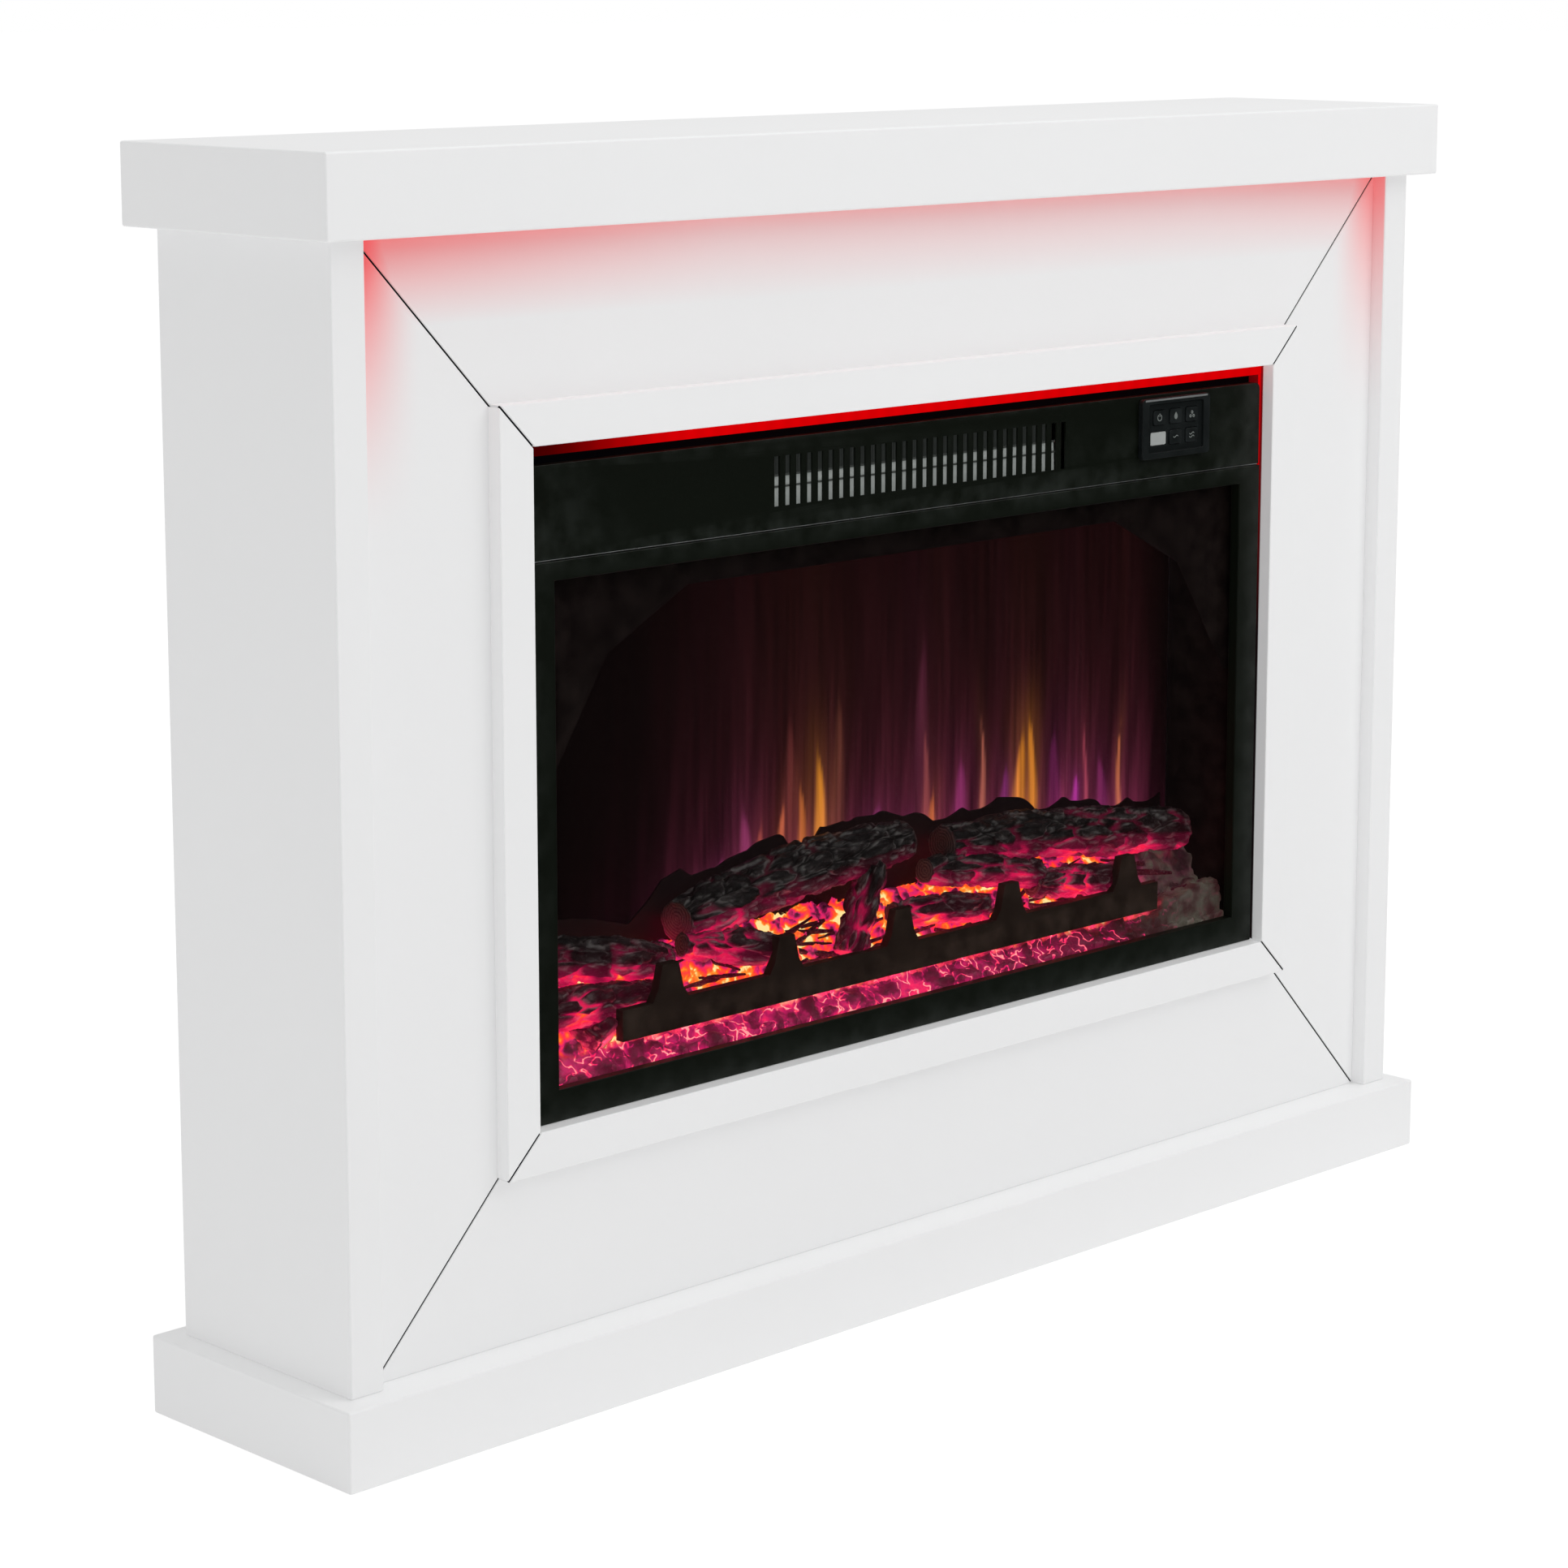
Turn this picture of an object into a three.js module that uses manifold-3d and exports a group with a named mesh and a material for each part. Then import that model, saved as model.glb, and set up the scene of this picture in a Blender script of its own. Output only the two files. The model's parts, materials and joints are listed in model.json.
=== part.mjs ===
// Free-standing electric fireplace: a white painted surround (mantel, plinth, side boards, mitred fascia and
// frame) around a fan-heater fire with a log bed, a rotating flame spindle and five push buttons.
// Millimetres, +Z up, the front faces -Y, and the origin is on the floor under the middle of the mantel.
import * as THREE from "three";
import { mergeVertices } from "three/addons/utils/BufferGeometryUtils.js";
import Module from "manifold-3d";

const wasm = await Module();
wasm.setup();

// ---- Driving dimensions -------------------------------------------------------------------------------------

const GAP = 0.3; // clearance between pieces that touch
const MITRE_GAP = 1.4; // open line between two mitred boards

const OVERALL = { width: 1120, depth: 213, height: 857 };
const MANTEL = { height: 55, board: 18, soffit: 12 };
const PLINTH = { height: 55, board: 18 };
const OVERHANG = { side: 16, front: 17.5, back: 16 }; // mantel and plinth past the side boards
const SIDE_BOARD = 27;
const FASCIA = { board: 15, recess: 12 }; // recess: behind the side boards' front edges
const OPENING = { width: 760, height: 460, base: 200.5 }; // clear opening of the frame
const FRAME = { face: 29, liner: 10, linerDepth: 27 };
const RAIL = { height: 60, board: 18 };
const SHELF_BOARD = 18;
const BRACKET = { width: 40, reach: 14, drop: 30, sheet: 2, fromMiddle: 300, hole: 2.5, holeDrop: 19.5 };

const INSERT = { sideGap: 2, topGap: 14.4, recess: 10.5, sheet: 1.5 };
const WINDOW = { side: 24, bottom: 22, top: 13, ring: 7.5 }; // borders of the window frame, and its thickness
const BAND = { height: 63.6, step: 1, cornerRadius: 5 }; // control band over the window frame
const OUTLET = { slots: 29, pitch: 10.6, slotWidth: 5, slotHeight: 35, base: 16 };
const CASING = { inset: 12, depth: 141, bottomLift: 2.4, topDrop: 5 };
const VENT = { slots: 9, pitch: 62, length: 44, width: 4, upper: [22, 34], lower: 22 }; // in the rear cover
const GLAND = { radius: 9, bore: 4, collar: 12, collarDepth: 7, neck: 8, fromEdge: 66, height: 40 };
const GLASS = { sheet: 4, overlap: 6 };

const CHAMBER = { depth: 65, liner: 1.5, overWindow: 7 }; // depth: between the glass and the flame screen
const SCREEN_SHEET = 2;
const ARCH = { sheet: 1.2, footDrop: 148, shoulderIn: 58, shoulderDrop: 57, crownIn: 132, crownDrop: 18 };
const HEARTH = { front: 19, back: 82, shell: 7, rim: 12, end: 30 }; // the ember bed, and the hollow under it
const LOG_SET = { halfWidth: 362.7, depth: 65 }; // the firebox that the logs' places are given for
const GUARD = { halfWidth: 282, sheet: 7, bar: 22, base: 34, behindGlass: 3, prongs: [-237, -124, -5, 113, 246] };
const PRONG = { tip: 15, neck: 24, root: 34, neckRise: 8, rise: 26 };

const SPINDLE = { radius: 2.5, behindScreen: 28, height: 54, journal: 4, endGap: 6 };
const VANE = { reach: 15, width: 34, sheet: 0.8, stations: 10, around: 3, twist: 0.13, fromEnd: 30 };
const SPINDLE_MOTOR = { radius: 22, length: 18 };
const BEARING = { width: 5, radius: 9 };
const IMPELLER = { radius: 20, length: 286, blades: 18, bladeDepth: 7, bladeSheet: 0.9, shaft: 3, disc: 2 };
const FAN_HOUSING = { clearance: 3.5, sheet: 1.5, mouth: 33, endGap: 2, lip: 1.75, behindFront: 54, lift: 3 };
const FAN_MOTOR = { length: 38, side: 42, coil: 15, gap: 4 };
const HEATER = { width: 300, height: 42, depth: 11, rim: 5, bar: 8, rows: 3, behindFront: 2, underOutlet: 3 };

const PANEL = { fromEdge: 105.5, fromTop: 2.5, width: 79, height: 46, proud: 4.5, sink: 5.6, shoulder: 3.5 };
const FIELD = { sideRim: 7.5, endRim: 4.5, sink: 1.5 }; // the sunk face that holds the buttons
const BUTTON = { width: 14, height: 11, radius: 2, pitchX: 19, pitchZ: 16, proud: 0.8, travel: 1 };
const BUTTON_BACK = { flange: 1.3, flangeSheet: 1.2, stemWidth: 9, stemHeight: 6.3, stem: 1.4 };
const DISPLAY = { width: 18, height: 10, radius: 1.5 };
const BOARD = { sheet: 1.6, width: 28, fromEnd: 52, rim: 5.5 };

const LED = { width: 10, height: 8 };

// ---- Places worked out from them ----------------------------------------------------------------------------

const BACK = OVERALL.depth / 2;
const FRONT = -BACK;
const BODY_FRONT = FRONT + OVERHANG.front;
const BODY_BACK = BACK - OVERHANG.back;
const BODY_HALF = OVERALL.width / 2 - OVERHANG.side;
const INNER_HALF = BODY_HALF - SIDE_BOARD;
const MANTEL_UNDER = OVERALL.height - MANTEL.height;
const FASCIA_FRONT = BODY_FRONT + FASCIA.recess;
const OPENING_TOP = OPENING.base + OPENING.height;
const OPENING_HALF = OPENING.width / 2;
const LINER_BACK = FASCIA_FRONT + FRAME.linerDepth;

const INSERT_FRONT = BODY_FRONT + INSERT.recess;
const INSERT_HALF = OPENING_HALF - INSERT.sideGap;
const INSERT_BASE = OPENING.base + GAP;
const INSERT_TOP = OPENING_TOP - INSERT.topGap;
const BAND_BASE = INSERT_TOP - BAND.height;
const BAND_FRONT = INSERT_FRONT + BAND.step;
const INSERT_BACK = INSERT_FRONT + BAND.step + WINDOW.ring; // back of the window frame and of the control band
const CASING_HALF = INSERT_HALF - CASING.inset;
const CASING_BASE = INSERT_BASE + CASING.bottomLift;
const CASING_TOP = INSERT_TOP - CASING.topDrop;
const CASING_FRONT = INSERT_BACK + GAP;
const CASING_BACK = CASING_FRONT + CASING.depth;
const WINDOW_HALF = INSERT_HALF - WINDOW.side;
const WINDOW_BASE = INSERT_BASE + WINDOW.bottom;
const WINDOW_TOP = BAND_BASE - MITRE_GAP / 2 - WINDOW.top;
const GLASS_BACK = CASING_FRONT + GLASS.sheet;
const SCREEN_FRONT = GLASS_BACK + CHAMBER.depth;
const CEILING_BASE = WINDOW_TOP + CHAMBER.overWindow;
const LINER_INSIDE = CASING_HALF - INSERT.sheet - GAP - CHAMBER.liner;
const FLOOR = CASING_BASE + INSERT.sheet + GAP; // what stands inside the casing stands here

const SCROLL_RADIUS = IMPELLER.radius + FAN_HOUSING.clearance + FAN_HOUSING.sheet;
const SPINDLE_AT = { y: SCREEN_FRONT + SCREEN_SHEET + SPINDLE.behindScreen, z: FLOOR + SPINDLE.height };
const FAN_AT = {
  y: CASING_FRONT + FAN_HOUSING.behindFront,
  z: CEILING_BASE + CHAMBER.liner + FAN_HOUSING.lift + SCROLL_RADIUS,
};
const OUTLET_BASE = BAND_BASE + OUTLET.base;
const PANEL_X = INSERT_HALF - PANEL.fromEdge;
const PANEL_Z = INSERT_TOP - PANEL.fromTop - PANEL.height / 2;
const PANEL_FRONT = BAND_FRONT - PANEL.proud;
const FIELD_FRONT = PANEL_FRONT + FIELD.sink;
const BEZEL_BACK = BAND_FRONT + PANEL.sink;

// ---- Geometry helpers ---------------------------------------------------------------------------------------

// A block between its lowest and highest x, y and z.
function block(x, y, z) {
  const made = new THREE.BoxGeometry(x[1] - x[0], y[1] - y[0], z[1] - z[0]);
  return made.translate((x[0] + x[1]) / 2, (y[0] + y[1]) / 2, (z[0] + z[1]) / 2);
}

// An outline of [a, b] points, or a ready THREE.Shape, with holes that are outlines too.
function outline(points, holes = []) {
  const shape = Array.isArray(points) ? new THREE.Shape(points.map((p) => new THREE.Vector2(...p))) : points;
  holes.forEach((hole) => shape.holes.push(new THREE.Path(hole.map((p) => new THREE.Vector2(...p)))));
  return shape;
}

function extruded(shape, length, curveSegments) {
  return new THREE.ExtrudeGeometry(shape, { depth: length, bevelEnabled: false, curveSegments });
}

// An outline in x and z, from yLow towards the back.
function frontPlate(shape, yLow, thickness, curveSegments = 2) {
  return extruded(shape, thickness, curveSegments).rotateX(Math.PI / 2).translate(0, yLow + thickness, 0);
}

// An outline in y and z, from xLow towards +X.
function sidePlate(shape, xLow, length, curveSegments = 12) {
  const turn = new THREE.Matrix4().makeBasis(
    new THREE.Vector3(0, 1, 0),
    new THREE.Vector3(0, 0, 1),
    new THREE.Vector3(1, 0, 0),
  );
  return extruded(shape, length, curveSegments).applyMatrix4(turn).translate(xLow, 0, 0);
}

function rectangle(xLow, xHigh, zLow, zHigh) {
  return [[xLow, zLow], [xHigh, zLow], [xHigh, zHigh], [xLow, zHigh]];
}

function roundedRectangle(width, height, radius, x = 0, z = 0) {
  const shape = new THREE.Shape();
  const [a, b] = [width / 2 - radius, height / 2 - radius];
  shape.absarc(x + a, z - b, radius, -Math.PI / 2, 0);
  shape.absarc(x + a, z + b, radius, 0, Math.PI / 2);
  shape.absarc(x - a, z + b, radius, Math.PI / 2, Math.PI);
  shape.absarc(x - a, z - b, radius, Math.PI, Math.PI * 1.5);
  return shape;
}

// A round bar along X.
function barX(radius, xLow, xHigh, y, z, sides = 16) {
  const made = new THREE.CylinderGeometry(radius, radius, xHigh - xLow, sides);
  return made.rotateZ(Math.PI / 2).translate((xLow + xHigh) / 2, y, z);
}

// A round bar along Y.
function barY(radius, x, yLow, yHigh, z, sides = 20) {
  return new THREE.CylinderGeometry(radius, radius, yHigh - yLow, sides).translate(x, (yLow + yHigh) / 2, z);
}

function solid(geometry) {
  const bare = geometry.clone();
  bare.deleteAttribute("normal");
  bare.deleteAttribute("uv");
  const merged = mergeVertices(bare, 1e-3);
  return new wasm.Manifold(
    new wasm.Mesh({
      numProp: 3,
      vertProperties: merged.attributes.position.array,
      triVerts: new Uint32Array(merged.index.array),
    }),
  );
}

function geometryOf(manifold) {
  const mesh = manifold.getMesh();
  const made = new THREE.BufferGeometry();
  made.setAttribute("position", new THREE.BufferAttribute(mesh.vertProperties, 3));
  made.setIndex(new THREE.BufferAttribute(mesh.triVerts, 1));
  made.computeVertexNormals();
  return made;
}

const joined = (...parts) => geometryOf(parts.map(solid).reduce((whole, part) => whole.add(part)));
const cut = (body, ...tools) =>
  geometryOf(tools.map(solid).reduce((whole, tool) => whole.subtract(tool), solid(body)));

// ---- Materials ----------------------------------------------------------------------------------------------

const finish = (color, roughness, metalness = 0) =>
  new THREE.MeshStandardMaterial({ color, roughness, metalness });
const whitePaint = finish(0xf0efee, 0.45);
const blackSteel = finish(0x14180f, 0.6, 0.2);
const zincSteel = finish(0xa9adb0, 0.4, 0.8);
const blackPlastic = finish(0x1c2226, 0.45);
const displayPlastic = finish(0xb9bfbb, 0.3);
const aluminium = finish(0xc4c6c8, 0.35, 0.9);
const opalDiffuser = finish(0xff2a2a, 0.5);
const tintedGlass = finish(0x201416, 0.08);
const screenFilm = finish(0x4a1420, 0.6);
const charredResin = finish(0x2b2322, 0.85);
const emberResin = finish(0x7a1830, 0.7);
const circuitBoard = finish(0x1f5a35, 0.5);
const copperCoil = finish(0xb87333, 0.4, 0.7);

const fireplace = new THREE.Group();

function part(name, geometry, material) {
  const mesh = new THREE.Mesh(geometry, material);
  mesh.name = name;
  fireplace.add(mesh);
  return mesh;
}

// ---- Surround -----------------------------------------------------------------------------------------------

// A folded box of boards: top, front and both ends, open below and behind.
function foldedShell(zLow, zHigh, board) {
  const half = OVERALL.width / 2;
  return cut(
    block([-half, half], [FRONT, BACK], [zLow, zHigh]),
    block([board - half, half - board], [FRONT + board, BACK + 1], [zLow - 1, zHigh - board]),
  );
}

function addMantel() {
  const inside = OVERALL.width / 2 - MANTEL.board - GAP;
  const soffitTop = MANTEL_UNDER + MANTEL.soffit;
  const lipBack = FRONT + MANTEL.board + GAP;
  part("mantel_shell", foldedShell(MANTEL_UNDER, OVERALL.height, MANTEL.board), whitePaint);
  const soffit = block([-inside, inside], [lipBack, BACK], [MANTEL_UNDER, soffitTop]);
  const lightSlot = block(
    [-INNER_HALF, INNER_HALF],
    [lipBack - 1, lipBack + LED.width + 2 * GAP],
    [MANTEL_UNDER - 1, soffitTop + 1],
  );
  part("mantel_soffit", cut(soffit, lightSlot), whitePaint);
}

function addPlinthAndSides() {
  part("plinth_shell", foldedShell(0, PLINTH.height, PLINTH.board), whitePaint);
  for (const [name, side] of [["left_side_board", -1], ["right_side_board", 1]]) {
    const x = [side * INNER_HALF, side * BODY_HALF].sort((a, b) => a - b);
    const board = block(x, [BODY_FRONT, BODY_BACK], [PLINTH.height + GAP, MANTEL_UNDER - GAP]);
    part(name, board, whitePaint);
  }
}

// The four sides of a mitred ring between an outer and an inner rectangle, each as an outline in x and z.
// Both rectangles are { half, base, top }, centred on x = 0. Each side is drawn back along its edges at both
// ends, so that two sides stay MITRE_GAP apart, measured square to their mitre.
function mitredSides(outer, inner) {
  const across = outer.half - inner.half;
  const flat = (edge) => {
    const slant = Math.hypot(across, outer[edge] - inner[edge]);
    const back = (MITRE_GAP / 2) * (slant / Math.abs(outer[edge] - inner[edge]));
    const points = [[back - outer.half, outer[edge]], [outer.half - back, outer[edge]]];
    points.push([inner.half - back, inner[edge]], [back - inner.half, inner[edge]]);
    return edge === "base" ? points : points.reverse();
  };
  const upright = (side) => {
    const back = (edge) => (MITRE_GAP / 2) * (Math.hypot(across, outer[edge] - inner[edge]) / across);
    const points = [[side * outer.half, outer.base + back("base")], [side * inner.half, inner.base + back("base")]];
    points.push([side * inner.half, inner.top - back("top")], [side * outer.half, outer.top - back("top")]);
    return side < 0 ? points : points.reverse();
  };
  return { bottom: flat("base"), top: flat("top"), left: upright(-1), right: upright(1) };
}

const openingRing = (by) => ({ half: OPENING_HALF + by, base: OPENING.base - by, top: OPENING_TOP + by });

function addFascia() {
  const outer = { half: INNER_HALF - GAP, base: PLINTH.height + GAP, top: MANTEL_UNDER - GAP };
  const sides = mitredSides(outer, openingRing(FRAME.liner + GAP));
  for (const [side, points] of Object.entries(sides)) {
    part("fascia_" + side, frontPlate(outline(points), FASCIA_FRONT, FASCIA.board), whitePaint);
  }
}

// Each frame side is an L: a face proud of the fascia, and a liner that goes back through its opening.
function addFrame() {
  const faces = mitredSides(openingRing(FRAME.face), openingRing(0));
  const liners = mitredSides(openingRing(FRAME.liner), openingRing(0));
  for (const side of Object.keys(faces)) {
    const face = frontPlate(outline(faces[side]), BODY_FRONT, FASCIA.recess - GAP);
    const liner = frontPlate(outline(liners[side]), BODY_FRONT + 1, LINER_BACK - BODY_FRONT - 1);
    part("frame_" + side, joined(face, liner), whitePaint);
  }
}

function addCarcassBoards() {
  const x = [GAP - INNER_HALF, INNER_HALF - GAP];
  const railDepth = [BODY_BACK - RAIL.board, BODY_BACK];
  const railTop = MANTEL_UNDER - GAP;
  part("rear_top_rail", block(x, railDepth, [railTop - RAIL.height, railTop]), whitePaint);
  const shelfTop = CASING_BASE - GAP;
  const shelf = block(x, [LINER_BACK + GAP, railDepth[0]], [shelfTop - SHELF_BOARD, shelfTop]);
  part("insert_shelf", shelf, whitePaint);
}

function addWallBrackets() {
  const [top, wall] = [MANTEL_UNDER - GAP, BACK];
  for (const [name, side] of [["left_wall_bracket", -1], ["right_wall_bracket", 1]]) {
    const x = side * BRACKET.fromMiddle;
    const angle = outline([
      [wall - BRACKET.reach, top],
      [wall - BRACKET.reach, top - BRACKET.sheet],
      [wall - BRACKET.sheet, top - BRACKET.sheet],
      [wall - BRACKET.sheet, top - BRACKET.drop],
      [wall, top - BRACKET.drop],
      [wall, top],
    ]);
    const bracket = sidePlate(angle, x - BRACKET.width / 2, BRACKET.width);
    const hole = barY(BRACKET.hole, x, wall - BRACKET.reach, wall + 1, top - BRACKET.holeDrop, 12);
    part(name, cut(bracket, hole), zincSteel);
  }
}

// ---- Lights -------------------------------------------------------------------------------------------------

// Each light strip is a bar of opal plastic with its lamps inside. One hides behind the mantel's front edge and
// one hangs under the top of the frame, behind the open line over the control band.
function addLights() {
  const mantelY = FRONT + MANTEL.board + 2 * GAP;
  const half = INNER_HALF - GAP;
  part(
    "mantel_light_strip",
    block([-half, half], [mantelY, mantelY + LED.width], [MANTEL_UNDER + GAP, MANTEL_UNDER + LED.height]),
    opalDiffuser,
  );
  const frameHalf = OPENING_HALF - GAP;
  const frameTop = OPENING_TOP - GAP;
  part(
    "frame_light_strip",
    block([-frameHalf, frameHalf], [BAND_FRONT, BAND_FRONT + LED.width], [frameTop - LED.height, frameTop]),
    opalDiffuser,
  );
}

// ---- Fire front ---------------------------------------------------------------------------------------------

function addWindowFrame() {
  const outer = rectangle(-INSERT_HALF, INSERT_HALF, INSERT_BASE, BAND_BASE - MITRE_GAP / 2);
  const hole = rectangle(-WINDOW_HALF, WINDOW_HALF, WINDOW_BASE, WINDOW_TOP).reverse();
  part("window_frame", frontPlate(outline(outer, [hole]), INSERT_FRONT, INSERT_BACK - INSERT_FRONT), blackSteel);
  const pane = block(
    [-WINDOW_HALF - GLASS.overlap, WINDOW_HALF + GLASS.overlap],
    [CASING_FRONT, GLASS_BACK],
    [WINDOW_BASE - GLASS.overlap, WINDOW_TOP + GLASS.overlap],
  );
  part("front_glass", pane, tintedGlass);
}

function addControlBand() {
  const radius = BAND.cornerRadius;
  const shape = new THREE.Shape();
  shape.moveTo(-INSERT_HALF, BAND_BASE);
  shape.lineTo(INSERT_HALF, BAND_BASE);
  shape.absarc(INSERT_HALF - radius, INSERT_TOP - radius, radius, 0, Math.PI / 2);
  shape.absarc(radius - INSERT_HALF, INSERT_TOP - radius, radius, Math.PI / 2, Math.PI);
  const through = [BAND_FRONT - 1, INSERT_BACK + 1];
  const holes = [];
  for (let i = 0; i < OUTLET.slots; i++) {
    const x = (i - (OUTLET.slots - 1) / 2) * OUTLET.pitch;
    const half = OUTLET.slotWidth / 2;
    holes.push(block([x - half, x + half], through, [OUTLET_BASE, OUTLET_BASE + OUTLET.slotHeight]));
  }
  const [bodyX, bodyZ] = [PANEL.width / 2 - PANEL.shoulder + GAP, PANEL.height / 2 - PANEL.shoulder + GAP];
  holes.push(block([PANEL_X - bodyX, PANEL_X + bodyX], through, [PANEL_Z - bodyZ, PANEL_Z + bodyZ]));
  const band = frontPlate(shape, BAND_FRONT, INSERT_BACK - BAND_FRONT);
  part("control_band", cut(band, ...holes), blackSteel);
}

// ---- Control panel ------------------------------------------------------------------------------------------

// The five buttons and the display fill a grid of three columns and two rows.
const CELL_NAMES = [
  ["power_button", "flame_button", "ember_button"],
  ["display_window", "low_heat_button", "high_heat_button"],
];
const cells = CELL_NAMES.flatMap((names, row) =>
  names.map((name, column) => ({
    name,
    x: PANEL_X + (column - 1) * BUTTON.pitchX,
    z: PANEL_Z + (0.5 - row) * BUTTON.pitchZ,
    size: name === "display_window" ? DISPLAY : BUTTON,
  })),
);

const cellShape = ({ x, z, size }, grown = 0) =>
  roundedRectangle(size.width + 2 * grown, size.height + 2 * grown, size.radius, x, z);

function addBezel() {
  const flange = roundedRectangle(PANEL.width, PANEL.height, PANEL.shoulder, PANEL_X, PANEL_Z);
  const [bodyWidth, bodyHeight] = [PANEL.width - 2 * PANEL.shoulder, PANEL.height - 2 * PANEL.shoulder];
  const body = roundedRectangle(bodyWidth, bodyHeight, 1, PANEL_X, PANEL_Z);
  const [fieldWidth, fieldHeight] = [PANEL.width - 2 * FIELD.sideRim, PANEL.height - 2 * FIELD.endRim];
  const field = roundedRectangle(fieldWidth, fieldHeight, BUTTON.radius, PANEL_X, PANEL_Z);
  const depth = BEZEL_BACK - PANEL_FRONT;
  const blank = joined(
    frontPlate(flange, PANEL_FRONT, PANEL.proud - GAP),
    frontPlate(body, PANEL_FRONT + 1, depth - 1),
  );
  const holes = cells.map((cell) => frontPlate(cellShape(cell, GAP), PANEL_FRONT - 1, depth + 2));
  const sunk = frontPlate(field, PANEL_FRONT - 1, FIELD.sink + 1);
  part("control_bezel", cut(blank, sunk, ...holes), blackPlastic);
}

// A button is a cap through the bezel, a flange that keeps it in, and a stem towards its switch.
function addCells() {
  const flangeFront = BEZEL_BACK + GAP;
  const { flange, flangeSheet, stemWidth, stemHeight, stem } = BUTTON_BACK;
  for (const cell of cells) {
    if (cell.size === DISPLAY) {
      const lens = frontPlate(cellShape(cell), FIELD_FRONT + GAP, flangeFront - FIELD_FRONT);
      part(cell.name, lens, displayPlastic);
      continue;
    }
    const front = FIELD_FRONT - BUTTON.proud;
    const stemShape = roundedRectangle(stemWidth, stemHeight, 1, cell.x, cell.z);
    const button = joined(
      frontPlate(cellShape(cell), front, flangeFront + flangeSheet / 2 - front),
      frontPlate(cellShape(cell, flange), flangeFront, flangeSheet),
      frontPlate(stemShape, flangeFront + flangeSheet / 2, flangeSheet / 2 + stem),
    );
    part(cell.name, button, blackPlastic);
  }
}

function addControlBoard() {
  const stemBack = BEZEL_BACK + GAP + BUTTON_BACK.flangeSheet + BUTTON_BACK.stem;
  const front = stemBack + BUTTON.travel + GAP;
  const [halfX, halfZ] = [PANEL.width / 2 - BOARD.rim, PANEL.height / 2 - PANEL.shoulder];
  const x = [PANEL_X - halfX, PANEL_X + halfX];
  const z = [PANEL_Z - halfZ, PANEL_Z + halfZ];
  part("control_circuit_board", block(x, [front, front + BOARD.sheet], z), circuitBoard);
}

// ---- Casing -------------------------------------------------------------------------------------------------

function addCasing() {
  const sheet = INSERT.sheet;
  const depth = [CASING_FRONT, CASING_BACK];
  const outer = [[-CASING_HALF, CASING_TOP], [-CASING_HALF, CASING_BASE], [CASING_HALF, CASING_BASE]];
  outer.push([CASING_HALF, CASING_TOP], [CASING_HALF - sheet, CASING_TOP]);
  outer.push([CASING_HALF - sheet, CASING_BASE + sheet], [sheet - CASING_HALF, CASING_BASE + sheet]);
  outer.push([sheet - CASING_HALF, CASING_TOP]);
  part("casing_wrap", frontPlate(outline(outer), depth[0], depth[1] - depth[0]), zincSteel);
  const lid = block([-CASING_HALF, CASING_HALF], depth, [CASING_TOP + GAP, CASING_TOP + GAP + sheet]);
  part("casing_lid", lid, zincSteel);

  // The rear cover has two rows of air slots high up, one row low down, and the hole for the cable gland.
  const coverDepth = [CASING_BACK + GAP, CASING_BACK + GAP + sheet];
  const throughCover = [coverDepth[0] - 1, coverDepth[1] + 1];
  const [glandX, glandZ] = [GLAND.fromEdge - CASING_HALF, CASING_BASE + GLAND.height];
  const openings = [barY(GLAND.radius + GAP, glandX, ...throughCover, glandZ)];
  for (const z of [...VENT.upper.map((drop) => CASING_TOP - drop), CASING_BASE + VENT.lower]) {
    for (let i = 0; i < VENT.slots; i++) {
      const x = (i - (VENT.slots - 1) / 2) * VENT.pitch;
      const [halfX, halfZ] = [VENT.length / 2, VENT.width / 2];
      openings.push(block([x - halfX, x + halfX], throughCover, [z - halfZ, z + halfZ]));
    }
  }
  const cover = block([-CASING_HALF, CASING_HALF], coverDepth, [CASING_BASE, CASING_TOP]);
  part("rear_cover", cut(cover, ...openings), zincSteel);

  const [glandFront, collarFront] = [coverDepth[0] - GLAND.neck, coverDepth[1] + GAP];
  const glandBack = collarFront + GLAND.collarDepth;
  const neck = barY(GLAND.radius, glandX, glandFront, glandBack - 1, glandZ);
  const collar = barY(GLAND.collar, glandX, collarFront, glandBack, glandZ, 6);
  const bore = barY(GLAND.bore, glandX, glandFront - 1, glandBack + 1, glandZ);
  part("cable_gland", cut(joined(neck, collar), bore), blackPlastic);
}

// ---- Fire chamber -------------------------------------------------------------------------------------------

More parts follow.
